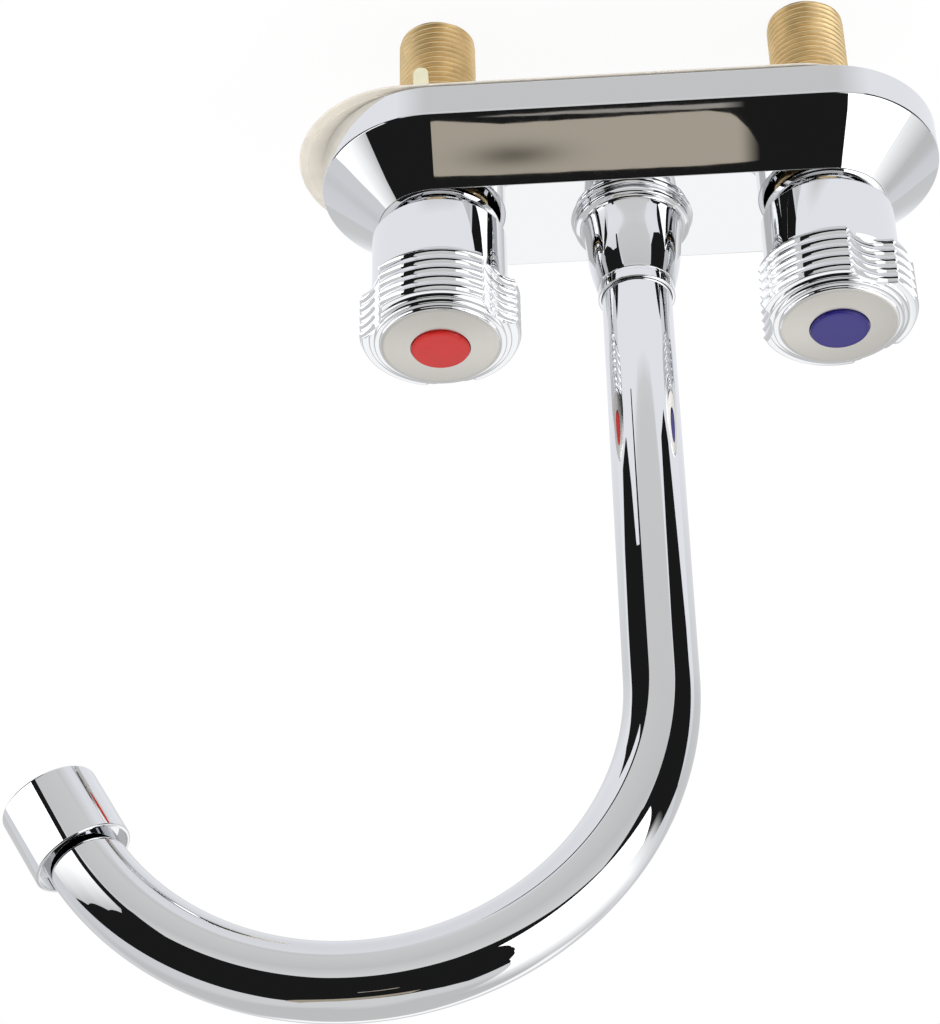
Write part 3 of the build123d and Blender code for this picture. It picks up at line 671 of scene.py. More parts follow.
def build_valve_body(side):
    """Brass body: threaded shank with its water way, barrel and neck."""
    sizes = bpy.context.scene.faucet_sizes
    radius, count = sizes.shank_radius, 96
    barrel, neck, ceiling = NECK_RADIUS + BARREL_STEP, NECK_RADIUS, COVER_TOP - sizes.cover_wall
    seat, chamber = bottom_of("hot_seat_seal"), radius_of("cartridge_orings")
    seat_bore, seat_lip, bore = 5.2 * MM, 2.5 * MM, radius - 3.08 * MM
    start, end = bottom_of(f"{side}_valve_body"), -1.0 * MM
    mouth_inner, mouth_outer, mouth_edge = radius - 1.6 * MM, radius - 1.2 * MM, 0.15 * MM
    relief_radius, run_in, run_out = radius - 0.9 * MM, 0.4 * MM, 0.1 * MM
    inside = [(chamber, NECK_TOP), (chamber, seat), (seat_bore, seat), (seat_bore, seat - seat_lip),
              (bore, seat - seat_lip), (bore, start)]
    mouth = [(mouth_inner, start), (mouth_outer, start + mouth_edge)]
    outside = [(relief_radius, end + run_out), (relief_radius, COVER_BASE), (barrel, COVER_BASE),
               (barrel, ceiling), (neck, ceiling), (neck, NECK_TOP)]
    rings = [circle_ring(r, z, count) for r, z in inside + mouth]
    rings += threaded_rings(radius, sizes.thread_depth, sizes.thread_pitch, start + run_in, end, count)
    rings += [circle_ring(r, z, count) for r, z in outside]
    mesh = bmesh.new()
    add_rings(mesh, rings, closed=True)
    mesh.transform(upright(VALVE_X[side]))
    piece(f"{side}_valve_body_threaded", mesh, "machined_brass", "base", [f"{side}_valve_body"],
          sharp=60)


def build_cover_nut(side, replaced=()):
    """Flat hexagon nut with chamfered corners on the valve neck."""
    flats, corner, edge = NECK_RADIUS + 1.45 * MM, NECK_RADIUS + 2.45 * MM, 0.5 * MM
    low, high = VALVE_BOSS_TOP, top_of("cover_nuts")
    count = 96

    def ring(limit, z):
        points = []
        for k in range(count):
            angle = 2 * math.pi * k / count
            across = flats / math.cos((angle + math.pi / 6) % (math.pi / 3) - math.pi / 6)
            points.append(around(min(across, limit), angle, z))
        return points

    rings = [circle_ring(NECK_RADIUS, low, count), ring(flats, low), ring(corner, low + edge),
             ring(corner, high - edge), ring(flats, high), circle_ring(NECK_RADIUS, high, count)]
    mesh = bmesh.new()
    add_rings(mesh, rings, closed=True)
    mesh.transform(upright(VALVE_X[side]))
    piece(f"{side}_cover_nut", mesh, "machined_brass", "base", replaced)


def build_spout_nut():
    """Cone-shaped nut: rolled base flange, slightly bulged cone, a groove and an upright lip."""
    low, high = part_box("spout_nut")
    flange = radius_of("spout_nut")
    bore, wall, flange_height = TUBE_RADIUS + 0.1 * MM, 2.2 * MM, 2.2 * MM
    waist = (HUB_NECK_RADIUS + wall, low.z + flange_height)
    lip_wall, lip_height, lip_draft = 0.95 * MM, 22.5 * MM, 0.02 * MM
    lip = (TUBE_RADIUS + lip_wall, low.z + lip_height)
    ceiling = top_of("spout_glide_ring")
    roll = 0.7 * MM
    middle = (low.z + waist[1]) / 2
    rise = (waist[1] - low.z) / 2
    outline = [(HUB_NECK_RADIUS, low.z), (flange - roll, low.z)]
    outline += [(flange - roll * (1 - math.cos(angle)), middle + rise * math.sin(angle))
                for angle in arc(-75, 75, 10)]
    foot = (waist[0] + 0.1 * MM, waist[1] + 0.15 * MM)
    cone_start = (waist[0] - 0.35 * MM, waist[1] + 2.2 * MM)
    fillet = 0.9 * MM
    outline += softened([(flange - fillet, waist[1]), foot, cone_start], [0, fillet, 0])[1:-1]
    fullness, steps = 0.9 * MM, 24
    for k in range(1, steps + 1):
        share = k / steps
        r = waist[0] + (lip[0] - waist[0]) * share + fullness * math.sin(math.pi * share) * share
        outline.append((r, waist[1] + (lip[1] - waist[1]) * share))
    groove = lip[0] - 0.15 * MM
    outline += [(groove, lip[1] + 0.1 * MM), (groove, lip[1] + 0.25 * MM)]
    outline += softened([(lip[0], lip[1] + 0.3 * MM), (lip[0] - lip_draft, high.z), (bore, high.z)],
                        [0.1 * MM, 0.3 * MM, 0.1 * MM])
    outline += [(bore, ceiling), (HUB_NECK_RADIUS, ceiling)]
    piece("spout_nut_cone", lathe(outline), "electroplated_chrome", "base", ["spout_nut"])


def bend_start():
    """Height at which the gooseneck's bend starts."""
    return top_of("gooseneck_tube") - bpy.context.scene.faucet_sizes.bend_radius - TUBE_RADIUS


def bend_end():
    """Place and direction at the end of the gooseneck's bend."""
    sizes = bpy.context.scene.faucet_sizes
    radius, sweep = sizes.bend_radius, sizes.bend_sweep
    place = Vector((radius * (math.cos(sweep) - 1), 0, bend_start() + radius * math.sin(sweep)))
    return place, Vector((-math.sin(sweep), 0, math.cos(sweep)))


def outlet(distance=0.0):
    """Placement on the outlet axis, a distance beyond the collar's inner rim."""
    place, direction = bend_end()
    origin = place + direction * (distance - COLLAR_OVERLAP)
    side = Vector((0, 1, 0))
    turned = Matrix((side, direction.cross(side), direction)).transposed().to_4x4()
    return Matrix.Translation(origin) @ turned


def build_gooseneck():
    """Bent tube: riser, round bend and short straight end, open at both ends."""
    sizes = bpy.context.scene.faucet_sizes
    radius, sweep = sizes.bend_radius, sizes.bend_sweep
    foot_gap, riser_gap, straight_end = 1.02 * MM, 1 * MM, 5.6 * MM
    foot = top_of("spout_glide_ring") - foot_gap
    stations = [Matrix.Translation((0, 0, foot)), Matrix.Translation((0, 0, bend_start() - riser_gap))]
    hub = Matrix.Translation((-radius, 0, bend_start()))
    steps, count = 120, 96
    for k in range(steps + 1):
        swing = Matrix.Rotation(-sweep * k / steps, 4, "Y")
        stations.append(hub @ swing @ Matrix.Translation((radius, 0, 0)))
    _, direction = bend_end()
    stations.append(Matrix.Translation(direction * straight_end) @ stations[-1])
    outer, inner = [[[station @ p for p in circle_ring(r, 0, count)] for station in stations]
                    for r in (TUBE_RADIUS, TUBE_RADIUS - sizes.tube_wall)]
    mesh = bmesh.new()
    add_rings(mesh, outer + inner[::-1], closed=True)
    piece("gooseneck_tube_bent", mesh, "electroplated_chrome", "spout", ["gooseneck_tube"])


def build_aerator():
    """Collar with a softened rim and a recess round the tube, and the wire screen behind its lip."""
    # Collar
    outer, inner, length = 11.8 * MM, 10.9 * MM, 18.0 * MM
    lip, lip_height = 9.4 * MM, 1 * MM
    outline = softened([(inner, 0), (outer, 0), (outer, length), (lip, length), (lip, length - lip_height),
                        (inner, length - lip_height)],
                       [0.15 * MM, 0.35 * MM, 0.45 * MM, 0.2 * MM, 0, 0])
    piece("aerator_collar", lathe(outline, outlet()), "electroplated_chrome", "spout", ["aerator_shell"],
          sharp=50)

    # Screen of crossed wires
    mesh = bmesh.new()
    reach, pitch = inner - 0.1 * MM, bpy.context.scene.faucet_sizes.mesh_pitch
    wire, wire_sides = 0.1 * MM, 6
    rows = int(reach / pitch)
    for layer, turn in ((-wire, 0.0), (wire, math.pi / 2)):
        for row in range(-rows, rows + 1):
            offset = row * pitch
            half = math.sqrt(reach**2 - offset**2)
            place = Matrix.Rotation(turn, 4, "Z") @ Matrix.Translation((offset, 0, layer))
            add_rings(mesh, [[place @ Vector((wire * math.cos(angle), end, wire * math.sin(angle)))
                              for angle in arc(0, 360, wire_sides)[:-1]] for end in (-half, half)])
    mesh.transform(outlet(length - lip_height - 0.25 * MM))
    screen = piece("aerator_screen_wires", mesh, "drawn_stainless_steel", "spout", ["aerator_screen"],
                   sharp=80)
    screen.modifiers.clear()


def lobed_radius(angle, inset, full, depth):
    """Radius of the knob's outline, drawn in by an inset, at an angle from a scallop's middle."""
    half = math.radians(SCALLOP_HALF_ANGLE)
    floor = full - depth
    drop = full * math.cos(half) - floor
    cutter = ((full * math.sin(half)) ** 2 + drop**2) / (2 * drop)
    centre = floor + cutter
    away = (angle + math.pi / 3) % (2 * math.pi / 3) - math.pi / 3
    reach = (cutter + inset) ** 2 - (centre * math.sin(away)) ** 2
    scallop = centre * math.cos(away) - math.sqrt(reach) if reach > 0 else full
    return min(full - inset, scallop)


def flute_levels():
    """Insets and heights of the grip: hollow flutes of circular section between sharp rings."""
    sizes = bpy.context.scene.faucet_sizes
    pitch, depth, first = sizes.ring_pitch, sizes.flute_depth, sizes.first_ring
    radius = ((pitch / 2) ** 2 + depth**2) / (2 * depth)
    steps, crease = 8, 0.01 * MM

    def flute(base, begin, end):
        made = []
        for k in range(begin, end):
            across = pitch * k / steps
            made.append((depth - radius + math.sqrt(radius**2 - (across - pitch / 2) ** 2), base + across))
        return made

    levels = [(depth, 0.0), (depth, first - pitch / 2 - crease)] + flute(first - pitch, steps // 2, steps)
    for ring in range(sizes.ring_count - 1):
        levels += flute(first + ring * pitch, 0, steps)
    return levels + flute(first + (sizes.ring_count - 1) * pitch, 0, steps // 2)


def build_knob(side, phase):
    """Knob: round skirt, fluted lobed grip, round terraces, domed face and hollow inside."""
    sizes = bpy.context.scene.faucet_sizes
    low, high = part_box(f"{side}_knob")
    full = (high.x - low.x) / 2
    skirt = full - sizes.grip_standoff
    skirt_bore = skirt - sizes.skirt_wall
    count = 360
    start = math.radians(phase)
    turns = [2 * math.pi * k / count for k in range(count)]
    rows = []

    def add_row(radii, z):
        rows.append([around(r, start + turn, z) for r, turn in zip(radii, turns)])

    def round_row(radius, z):
        add_row([radius] * count, z)

    def lobed_row(inset, z, limit=math.inf):
        add_row([min(lobed_radius(turn, inset, full, sizes.scallop_depth), limit) for turn in turns], z)

    # Skirt and grip
    grip = low.z + sizes.skirt_height
    inner_edge, soft = 0.2 * MM, 0.35 * MM
    for r, z in softened([(skirt_bore, low.z), (skirt, low.z), (skirt, grip)], [inner_edge, soft, 0]):
        round_row(r, z)
    for inset, rise in flute_levels():
        lobed_row(inset, grip + rise)

    # Rounded top of the grip and the two terraces
    crown = grip + sizes.grip_height
    core, terrace = sizes.flute_depth, sizes.terrace_height
    for turn in arc(0, 90, 4):
        lobed_row(core + soft * (1 - math.cos(turn)), crown - soft * (1 - math.sin(turn)))
    face = skirt - sizes.face_inset
    for k in range(2):
        r = face + (2 - k) * sizes.terrace_step
        base = crown + k * terrace
        lobed_row(core, base, r)
        for turn in arc(0, 90, 4):
            lobed_row(core, base + terrace - soft * (1 - math.sin(turn)), r - soft * (1 - math.cos(turn)))

    # Domed face and the edge of the button's recess
    edge = crown + 3 * terrace
    rise = high.z - edge
    dome = (face**2 + rise**2) / (2 * rise)
    rounding, chamfer = 0.7 * MM, 0.22 * MM
    recess = radius_of(f"{side}_index_button") + 0.05 * MM

    def dome_height(radius):
        return high.z - dome + math.sqrt(dome**2 - radius**2)

    round_row(face, crown + 2 * terrace)
    for turn in arc(0, 90, 8)[:-1]:
        round_row(face - rounding * (1 - math.cos(turn)), edge - rounding + rounding * math.sin(turn))
    shoulder_rows = len(rows)
    shelf, steps = face - rounding, 11
    for k in range(steps + 1):
        r = shelf + (recess + chamfer - shelf) * k / steps
        round_row(r, dome_height(r))
    face_rows = len(rows)
    round_row(recess, dome_height(recess) - chamfer)

    # Hollow inside, which fits the screw and the stem
    screw = bottom_of(f"{side}_handle_screw") + sizes.screw_length
    stem_top, button_base = top_of(f"{side}_stem"), bottom_of(f"{side}_index_button")
    shaft, head = 2.1 * MM, 3.7 * MM
    spline, socket, cavity = 3.8 * MM, 6.6 * MM, 14.8 * MM
    spline_end, roof, ledge = stem_top - 11 * MM, edge - 4 * MM, grip - sizes.skirt_wall
    for r, z in ((recess, button_base), (head, button_base), (head, screw), (shaft, screw),
                 (shaft, stem_top), (spline, stem_top), (spline, spline_end), (socket, spline_end),
                 (socket, roof), (cavity, roof), (cavity, ledge), (skirt_bore, ledge)):
        round_row(r, z)
    mesh = bmesh.new()
    add_rings(mesh, rows, closed=True)
    mesh.faces.ensure_lookup_table()
    for k in range((shoulder_rows - 1) * count, face_rows * count):
        mesh.faces[k].material_index = 1
    mesh.transform(upright(VALVE_X[side]))
    made = piece(f"{side}_knob_lobed", mesh, "electroplated_chrome", f"{side}_handle", [f"{side}_knob"],
                 sharp=35)
    made.data.materials.append(bpy.data.materials["satin_chrome"])


def build_button(side, tint):
    """Index disc with a rolled edge and a barely domed face."""
    low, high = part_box(f"{side}_index_button")
    radius = radius_of(f"{side}_index_button")
    roll, crown, steps = 0.55 * MM, 0.05 * MM, 8
    outline = [(0, low.z), (radius, low.z)]
    outline += [(radius - roll * (1 - math.cos(angle)), high.z - crown - roll * (1 - math.sin(angle)))
                for angle in arc(0, 90, 6)]
    outline += [((radius - roll) * (1 - k / steps), high.z - crown * (1 - k / steps) ** 2)
                for k in range(1, steps + 1)]
    piece(f"{side}_index_disc", lathe(outline, upright(VALVE_X[side]), 96), f"tinted_acrylic_{tint}",
          f"{side}_handle", [f"{side}_index_button"])


class FAUCET_OT_finishes(bpy.types.Operator):
    """Make the finishes that the pieces share"""

    bl_idname = "faucet.finishes"
    bl_label = "Finishes"

    def execute(self, context):
        for make in (electroplated_chrome, satin_chrome, machined_brass, sand_cast_brass,
                     gasket_polypropylene, tab_polypropylene, acetal, nitrile_rubber, lapped_alumina,
                     drawn_stainless):
            make()
        return {"FINISHED"}


class FAUCET_OT_cover(bpy.types.Operator):
    """Build the plated deck cover"""

    bl_idname = "faucet.cover"
    bl_label = "Deck cover"

    def execute(self, context):
        build_cover()
        return {"FINISHED"}


class FAUCET_OT_gasket(bpy.types.Operator):
    """Build the base gasket and its tab"""

    bl_idname = "faucet.gasket"
    bl_label = "Base gasket"

    def execute(self, context):
        build_gasket()
        build_gasket_tab()
        return {"FINISHED"}


class FAUCET_OT_valve_bodies(bpy.types.Operator):
    """Build the two threaded valve bodies"""

    bl_idname = "faucet.valve_bodies"
    bl_label = "Valve bodies"

    def execute(self, context):
        for side in SIDES:
            build_valve_body(side)
        return {"FINISHED"}


class FAUCET_OT_cover_nuts(bpy.types.Operator):
    """Build the two nuts that clamp the cover"""

    bl_idname = "faucet.cover_nuts"
    bl_label = "Cover nuts"

    def execute(self, context):
        build_cover_nut("hot", ["cover_nuts"])
        build_cover_nut("cold")
        return {"FINISHED"}


class FAUCET_OT_knobs(bpy.types.Operator):
    """Build the hot and cold knobs"""

    bl_idname = "faucet.knobs"
    bl_label = "Knobs"

    def execute(self, context):
        for side, phase in (("hot", 34.5), ("cold", 64.0)):
            build_knob(side, phase)
        return {"FINISHED"}


class FAUCET_OT_buttons(bpy.types.Operator):
    """Build the red and blue index buttons"""

    bl_idname = "faucet.buttons"
    bl_label = "Index buttons"

    def execute(self, context):
        for side, tint in (("hot", "red"), ("cold", "blue")):
            index_acrylic(tint)
            build_button(side, tint)
        return {"FINISHED"}


class FAUCET_OT_spout_nut(bpy.types.Operator):
    """Build the cone-shaped spout nut"""

    bl_idname = "faucet.spout_nut"
    bl_label = "Spout nut"

    def execute(self, context):
        build_spout_nut()
        return {"FINISHED"}


class FAUCET_OT_gooseneck(bpy.types.Operator):
    """Build the gooseneck tube"""

    bl_idname = "faucet.gooseneck"
    bl_label = "Gooseneck"

    def execute(self, context):
        build_gooseneck()
        return {"FINISHED"}


class FAUCET_OT_aerator(bpy.types.Operator):
    """Build the aerator collar and its screen"""

    bl_idname = "faucet.aerator"
    bl_label = "Aerator"

    def execute(self, context):
        build_aerator()
        return {"FINISHED"}


class FAUCET_OT_inner_parts(bpy.types.Operator):
    """Give the inner parts their finishes"""

    bl_idname = "faucet.inner_parts"
    bl_label = "Inner parts"

    def execute(self, context):
        shared = {
            "electroplated_chrome": ["outlet_adapter"],
            "machined_brass": ["swivel_insert"],
            "sand_cast_brass": ["spout_hub", "cross_tubes"],
            "moulded_acetal_white": ["spout_glide_ring", "aerator_core"],
            "moulded_nitrile_rubber": ["cartridge_orings", "spout_orings", "aerator_washer"],
        }
        in_each_valve = {
            "machined_brass": ["cartridge_body", "stem"],
            "moulded_nitrile_rubber": ["seat_seal", "stem_oring"],
            "lapped_alumina": ["fixed_disc", "moving_disc"],
            "drawn_stainless_steel": ["handle_screw", "stem_clip"],
        }
        for finish, nodes in shared.items():
            for node in nodes:
                dress(node, finish)
        for finish, nodes in in_each_valve.items():
            for node in nodes:
                for side in SIDES:
                    dress(f"{side}_{node}", finish)
        return {"FINISHED"}


def sky_point(azimuth, elevation, distance):
    """Point seen from the middle of the spout's bend in a direction given in degrees."""
    a, e = math.radians(azimuth), math.radians(elevation)
    away = Vector((math.cos(e) * math.cos(a), math.cos(e) * math.sin(a), math.sin(e)))
    return BEND_MIDDLE + away * distance


def follow(line, azimuth):
    """Elevation of a line of (azimuth, elevation) points at an azimuth."""
    for (a0, e0), (a1, e1) in zip(line, line[1:]):
        if a0 <= azimuth <= a1:
            return e0 + (e1 - e0) * (azimuth - a0) / (a1 - a0)
    return line[-1][1]


def both_ends(level):
    """A level for each end, from one number or a pair."""
    return level if isinstance(level, tuple) else (level, level)


def studio_card(name, level, lower, upper, distance, colour=WHITE, soft=(0, 0, 0, 0)):
    """Curved card that only mirrors show, between two lines of (azimuth, elevation) points.

    The level is one brightness, or a pair from the lower to the upper edge. The edges at the
    smaller azimuth, the greater azimuth, the bottom and the top fade over the soft degrees.
    """
    first = max(lower[0][0], upper[0][0])
    last = min(lower[-1][0], upper[-1][0])
    low_level, high_level = both_ends(level)

    def spot(along, up):
        azimuth = first + (last - first) * along
        e0, e1 = follow(lower, azimuth), follow(upper, azimuth)
        elevation = e0 + (e1 - e0) * up
        inside = (azimuth - first, last - azimuth, elevation - e0, e1 - elevation)
        cover = min([1.0] + [max(0.0, i) / s for i, s in zip(inside, soft) if s])
        return sky_point(azimuth, elevation, distance), cover, low_level + (high_level - low_level) * up

    stage_sheet(name, max(8, int(last - first)), 40, spot, colour)


def along_line(line, share):
    """Point part of the way along a line of (azimuth, metres) points, by count of points."""
    place = share * (len(line) - 1)
    k = min(int(place), len(line) - 2)
    (a0, d0), (a1, d1) = line[k], line[k + 1]
    return a0 + (a1 - a0) * (place - k), d0 + (d1 - d0) * (place - k)


def floor_card(name, level, near, far_azimuths, reach, colour=WHITE, fade=0.0, height=MIRROR_FLOOR):
    """Flat card low down that only mirrors show, from a line of (azimuth, metres) points outward.

    It ends at the far azimuths at its reach. The level goes from the near to the far edge, and
    the card fades in over a share of that way.
    """
    near_level, far_level = both_ends(level)
    far = [(azimuth, reach) for azimuth in far_azimuths]

    def spot(along, out):
        a0, d0 = along_line(near, along)
        a1, d1 = along_line(far, along)
        away = d0 * (d1 / d0) ** out
        angle = math.radians(a0 + (a1 - a0) * out)
        cover = min(1.0, out / fade) if fade else 1.0
        glow = near_level + (far_level - near_level) * out
        return around(away, angle, height), cover, glow

    stage_sheet(name, 60, 24, spot, colour)


def knob_card(side, turn, far):
    """Small reflector beside a knob that only the knob's own pieces show."""
    low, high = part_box(f"{side}_knob")
    aside, foot_gap, head_room = 28 * MM, 12 * MM, 8 * MM
    share = 0.4
    x = VALVE_X[side] + turn * aside
    bottom, top = low.z + foot_gap, high.z + head_room
    glow = bpy.context.scene.faucet_studio.softbox_level * share

    def spot(along, up):
        return Vector((x, far * along, bottom + (top - bottom) * up)), 0.0, glow

    name = f"{side}_reflector_{'right' if turn > 0 else 'left'}"
    card = stage_sheet(name, 1, 1, spot, WHITE)
    shown_by = bpy.data.collections.new(f"{name}_shown_by")
    for obj in bpy.data.objects:
        if obj.name.startswith(f"{side}_knob"):
            shown_by.objects.link(obj)
    card.light_linking.receiver_collection = shown_by


def stage_sheet(name, columns, rows, spot, colour):
    """Glowing sheet of columns and rows of squares that only mirrors show.

    The spot function gives the place, cover and glow at a share of the way along and up.
    Cover 1 hides what is behind the sheet. At cover 0 the glow is added to what is behind it.
    """
    spots = [spot(k / columns, j / rows) for k in range(columns + 1) for j in range(rows + 1)]
    places, covers, glows = zip(*spots)
    faces = []
    for k in range(columns):
        for j in range(rows):
            here = k * (rows + 1) + j
            faces.append((here, here + rows + 1, here + rows + 2, here + 1))
    data = bpy.data.meshes.new(name)
    data.from_pydata(places, [], faces)
    for label, numbers in (("cover", covers), ("glow", glows)):
        data.attributes.new(label, "FLOAT", "POINT").data.foreach_set("value", numbers)
    material = new_material(f"{name}_cloth")
    tree = material.node_tree
    brightness = add(tree, "ShaderNodeAttribute", attribute_name="glow")
    glow = add(tree, "ShaderNodeEmission", {"Color": [*colour, 1.0], "Strength": brightness.outputs["Fac"]})
    clear = add(tree, "ShaderNodeBsdfTransparent")
    if any(covers):
        cover = add(tree, "ShaderNodeAttribute", attribute_name="cover")
        mixed = add(tree, "ShaderNodeMixShader",
                    {0: cover.outputs["Fac"], 1: clear.outputs[0], 2: glow.outputs[0]})
    else:
        mixed = add(tree, "ShaderNodeAddShader", {0: clear.outputs[0], 1: glow.outputs[0]})
    add(tree, "ShaderNodeOutputMaterial", {"Surface": mixed.outputs[0]})
    data.materials.append(material)
    card = placed(name, data)
    card.visible_camera = False
    card.visible_diffuse = False
    card.visible_shadow = False
    return card


def slope_card(name, glow, outline, distance, colour, fades, smear=None):
    """Card that the cover's slope mirrors at given places.

    The outline gives for each place along X how far up the slope the card starts and ends.
    Each point is carried from the camera by the slope's mirror out to the card's distance.
    The left and right ends fade over two lengths, and a smear may darken a round patch.
    """
    sizes, studio = bpy.context.scene.faucet_sizes, bpy.context.scene.faucet_studio
    low = Vector((0, COVER_HALF_WIDTH, COVER_BASE + sizes.rim_height))
    slope = Vector((0, sizes.top_half_width, COVER_TOP)) - low
    normal = Vector((1, 0, 0)).cross(slope).normalized()
    camera = Vector(studio.camera_place)
    starts, ends = [(x, start) for x, start, _ in outline], [(x, end) for x, _, end in outline]
    first, last = outline[0][0], outline[-1][0]

    def spot(along, up):
        x = first + (last - first) * along
        start, end = follow(starts, x), follow(ends, x)
        share = start + (end - start) * up
        point = low + slope * share + Vector((x * MM, 0, 0))
        sight = (point - camera).normalized()
        cover = max(0.0, min((x - first) / fades[0], (last - x) / fades[1], 1.0))
        hollow = 0.0
        if smear:
            away = (((x - smear["x"]) / smear["width"]) ** 2
                    + ((share - smear["share"]) / smear["height"]) ** 2)
            hollow = smear["depth"] * math.exp(-away)
        return point + sight.reflect(normal) * distance, cover, glow * (1 - hollow)

    stage_sheet(name, 60, 24, spot, colour)


def build_cards():
    """Softboxes, dark cloth and pale cards round the faucet, placed by direction in degrees."""
    white = bpy.context.scene.faucet_studio.softbox_level
    dark, brow = 0.012, -5
    grey, stone = (1.0, 0.995, 0.99), (1.0, 0.93, 0.85)
    straw, khaki = (1.0, 0.88, 0.68), (1.0, 0.89, 0.72)
    studio_card("dark_cloth", dark, [(-19, brow), (192, brow)],
                [(-19, 8), (-9, 13), (-3, 14), (0, 66), (20, 71), (60, 75), (120, 75), (155, 72), (165, 66),
                 (172, 56), (178, 44), (186, 28), (192, 14)], distance=3.4)
    floor_card("dark_floor_cold", dark,
               [(-2, 0.457), (8, 0.385), (18.6, 0.32), (29, 0.299), (43, 0.318), (47, 0.38), (50, 0.457)],
               [-19, 0, 15, 25, 40, 47, 49], reach=3.4)
    floor_card("dark_floor_hot", dark,
               [(128, 0.205), (131, 0.205), (132, 0.302), (141.6, 0.302), (146.8, 0.262), (155.5, 0.23),
                (176, 0.249), (188, 0.302), (192, 0.358)],
               [118, 120, 121, 125, 130, 140, 165, 180, 192], reach=3.4, height=HIGH_FLOOR)
    studio_card("key_softbox", white, [(0, 15), (33, 2), (40, 8), (65, 30)],
                [(0, 57), (15, 56), (35, 49), (50, 41), (65, 30)], distance=0.8)
    studio_card("key_wing", white, [(-60, 2), (-20, 6), (0, 8)], [(-60, 54), (-45, 55), (0, 57)],
                distance=0.8, soft=(60, 0, 24, 0))
    studio_card("cold_wall", 0.6, [(-75, 4), (8, 4)], [(-75, 52), (8, 52)], distance=2.5, colour=grey,
                soft=(12, 12, 6, 6))
    studio_card("fill_softbox", (white * 1.25, 0.62), [(132, -11), (145, -6), (165, -2), (192, -4)],
                [(132, 12), (136, 16), (150, 22), (175, 24), (190, 20), (193, 12)], distance=0.36)
    floor_card("grey_floor", (0.7, 0.63),
               [(53, 0.34), (60, 0.285), (66, 0.268), (84, 0.262), (104, 0.268), (122, 0.3), (129, 0.34)],
               [49, 60, 72, 84, 96, 108, 118], reach=1.3, colour=grey, fade=0.05)
    studio_card("grey_card", (0.62, 0.76), [(49, -12), (118, -12)],
                [(46, 9), (60, 15), (80, 17), (100, 14), (118, 5)], distance=1.3, colour=grey)
    studio_card("warm_strip", 0.42, [(55, 69), (165, 69)], [(55, 73), (110, 75), (165, 73)],
                distance=3.0, colour=straw)
    studio_card("back_wall", 0.62, [(205, 6), (335, 6)], [(205, 84), (335, 84)], distance=3.0,
                colour=grey, soft=(15, 15, 10, 10))
    studio_card("top_wall", 1.12, [(248, 17), (308, 17)], [(248, 33), (308, 33)], distance=0.35,
                soft=(6, 6, 2, 2))
    floor_card("back_floor", 0.66, [(200, 0.3), (270, 0.26), (340, 0.3)], [200, 270, 340], reach=3.4,
               fade=0.3)
    studio_card("floor_shade", 0.66, [(38, -62), (128, -62)], [(38, -42), (128, -42)], distance=3.0,
                colour=grey, soft=(30, 30, 6, 0.6))
    for side in SIDES:
        knob_card(side, -1, 36 * MM)
        knob_card(side, 1, 70 * MM)
    slope_card("khaki_panel", 0.44,
               [(-53, 0.1, 0.82), (-50, 0.08, 0.84), (-33, 0.17, 0.86), (20, 0.14, 0.88), (27, 0.2, 0.87),
                (31, 0.42, 0.86), (33.5, 0.66, 0.85)], distance=2.9, colour=khaki, fades=(1.5, 5),
               smear={"x": -30, "share": 0.6, "width": 12, "height": 0.16, "depth": 0.62})
    slope_card("khaki_strip", 0.34, [(-40, 0.05, 0.06), (-10, 0.045, 0.09), (30, 0.05, 0.12)],
               distance=2.9, colour=stone, fades=(8, 6))


def build_world():
    """Pale studio walls and floor for the metal, white where the camera looks past the floor."""
    studio = bpy.context.scene.faucet_studio
    world = bpy.data.worlds.new("studio")
    bpy.context.scene.world = world
    world.use_nodes = True
    tree = world.node_tree
    tree.nodes.clear()
    place = add(tree, "ShaderNodeTexCoord")
    parts = add(tree, "ShaderNodeSeparateXYZ", {"Vector": place.outputs["Generated"]})
    height = add(tree, "ShaderNodeMapRange",
                 {"Value": parts.outputs["Z"], "From Min": -1.0, "From Max": 1.0})
    floor, wall = studio.floor_level, studio.wall_level
    underfoot, cool = [0.86, 0.87, 0.9], [0.98, 0.99, 1.03]
    ramp = add(tree, "ShaderNodeValToRGB", {"Fac": height.outputs["Result"]})
    stops = ramp.color_ramp.elements
    stops[0].position, stops[0].color = 0.0, tinted(underfoot, floor)
    stops[1].position, stops[1].color = 1.0, tinted(WHITE, wall)
    for position, level in ((0.15, floor), (0.24, floor), (0.34, wall * 1.08), (0.6, wall * 0.98)):
        stops.new(position).color = tinted(cool, level)
    room = add(tree, "ShaderNodeBackground", {"Color": ramp.outputs["Color"]})
    white = add(tree, "ShaderNodeBackground", {"Color": (1, 1, 1, 1)})
    ray = add(tree, "ShaderNodeLightPath")
    seen = add(tree, "ShaderNodeMixShader",
               {0: ray.outputs["Is Camera Ray"], 1: room.outputs[0], 2: white.outputs[0]})
    add(tree, "ShaderNodeOutputWorld", {"Surface": seen.outputs[0]})


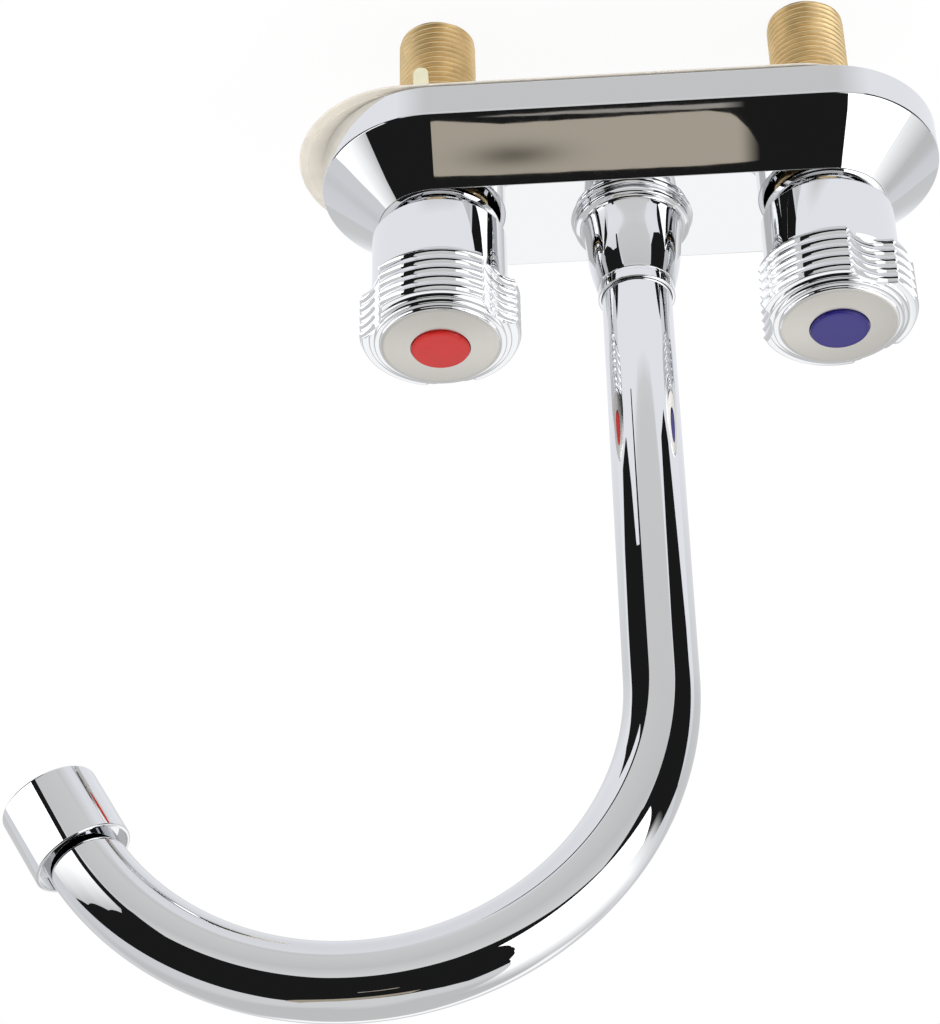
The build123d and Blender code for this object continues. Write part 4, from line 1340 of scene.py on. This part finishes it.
def build_floor():
    """Plain pale floor under the shanks, white to the camera, with a faint shadow."""
    gap, whiteness = 0.2 * MM, 0.93
    mesh = bmesh.new()
    bmesh.ops.create_grid(mesh, x_segments=1, y_segments=1, size=6.0)
    data = bpy.data.meshes.new("floor")
    mesh.to_mesh(data)
    mesh.free()
    floor = placed("floor", data)
    floor.location.z = CAD_BOX[0].z - gap
    material = new_material("painted_white_board")
    tree = material.node_tree
    grain = noise(tree, 30 * MM, detail=2.0)
    paint = add(tree, "ShaderNodeBsdfDiffuse",
                {"Color": shaded(tree, grain, (0.86, 0.86, 0.86, 1), (0.9, 0.9, 0.9, 1))})
    glow = add(tree, "ShaderNodeEmission", {"Color": (1, 1, 1, 1), "Strength": 1.0})
    ray = add(tree, "ShaderNodeLightPath")
    share = add(tree, "ShaderNodeMath", {0: ray.outputs["Is Camera Ray"], 1: whiteness},
                operation="MULTIPLY")
    seen = add(tree, "ShaderNodeMixShader", {0: share.outputs[0], 1: paint.outputs[0], 2: glow.outputs[0]})
    add(tree, "ShaderNodeOutputMaterial", {"Surface": seen.outputs[0]})
    data.materials.append(material)
    floor.visible_glossy = False


def build_lamps():
    """Soft area lamps for the brass and plastic. Mirrors show the cards instead."""
    middle = (CAD_BOX[0] + CAD_BOX[1]) / 2
    for name, place, size, power in (
        ("key_lamp", sky_point(25, 45, 1.4), 1.0, 9.0),
        ("fill_lamp", sky_point(150, 40, 1.5), 1.0, 6.0),
        ("top_lamp", sky_point(270, 70, 1.6), 1.4, 7.0),
    ):
        lamp = bpy.data.lights.new(name, "AREA")
        lamp.shape = "DISK"
        lamp.size = size
        lamp.energy = power
        holder = placed(name, lamp)
        holder.location = place
        holder.rotation_mode = "QUATERNION"
        holder.rotation_quaternion = (middle - place).to_track_quat("-Z", "Y")
        holder.visible_glossy = False


def build_camera():
    """Camera behind and above the faucet, turned so that the shanks point up in its frame."""
    studio = bpy.context.scene.faucet_studio
    pitch, roll = studio.camera_pitch, studio.camera_roll
    turn = Matrix.Rotation(studio.camera_yaw, 3, "Z")
    back = turn @ Vector((0, math.cos(pitch), math.sin(pitch)))
    right = turn @ Vector((1, 0, 0))
    up = back.cross(right)
    across = math.cos(roll) * right + math.sin(roll) * up
    upward = math.cos(roll) * up - math.sin(roll) * right
    data = bpy.data.cameras.new("camera")
    data.lens = studio.camera_lens
    data.sensor_width = 36
    data.clip_start, data.clip_end = 0.02, 50
    camera = placed("camera", data)
    camera.matrix_world = (Matrix.Translation(studio.camera_place)
                           @ Matrix((across, upward, back)).transposed().to_4x4())
    bpy.context.scene.camera = camera


class FAUCET_OT_stage(bpy.types.Operator):
    """Set up the floor, cards, lamps, world and camera"""

    bl_idname = "faucet.stage"
    bl_label = "Studio"

    def execute(self, context):
        build_world()
        build_floor()
        build_cards()
        build_lamps()
        build_camera()
        context.scene.view_settings.view_transform = "Standard"
        return {"FINISHED"}


STEPS = (
    FAUCET_OT_finishes,
    FAUCET_OT_cover,
    FAUCET_OT_gasket,
    FAUCET_OT_valve_bodies,
    FAUCET_OT_cover_nuts,
    FAUCET_OT_knobs,
    FAUCET_OT_buttons,
    FAUCET_OT_spout_nut,
    FAUCET_OT_gooseneck,
    FAUCET_OT_aerator,
    FAUCET_OT_inner_parts,
    FAUCET_OT_stage,
)


class FAUCET_PT_panel(bpy.types.Panel):
    """Sidebar panel that lists the steps"""

    bl_idname = "FAUCET_PT_panel"
    bl_label = "Centerset faucet"
    bl_space_type = "VIEW_3D"
    bl_region_type = "UI"
    bl_category = "Faucet"

    def draw(self, context):
        for step in STEPS:
            self.layout.operator(step.bl_idname)


GROUPS = {"faucet_sizes": FaucetSizes, "faucet_colours": FaucetColours, "faucet_studio": FaucetStudio}


def register():
    """Makes the settings, steps and panel known."""
    for group in GROUPS.values():
        bpy.utils.register_class(group)
    for name, group in GROUPS.items():
        setattr(bpy.types.Scene, name, PointerProperty(type=group))
    for step in STEPS:
        bpy.utils.register_class(step)
    bpy.utils.register_class(FAUCET_PT_panel)


def unregister():
    """Takes them away again."""
    bpy.utils.unregister_class(FAUCET_PT_panel)
    for step in reversed(STEPS):
        bpy.utils.unregister_class(step)
    for name, group in reversed(GROUPS.items()):
        delattr(bpy.types.Scene, name)
        bpy.utils.unregister_class(group)


def main():
    """Builds everything in order."""
    register()
    for step in STEPS:
        family, name = step.bl_idname.split(".")
        getattr(getattr(bpy.ops, family), name)()


if __name__ == "__main__":
    main()
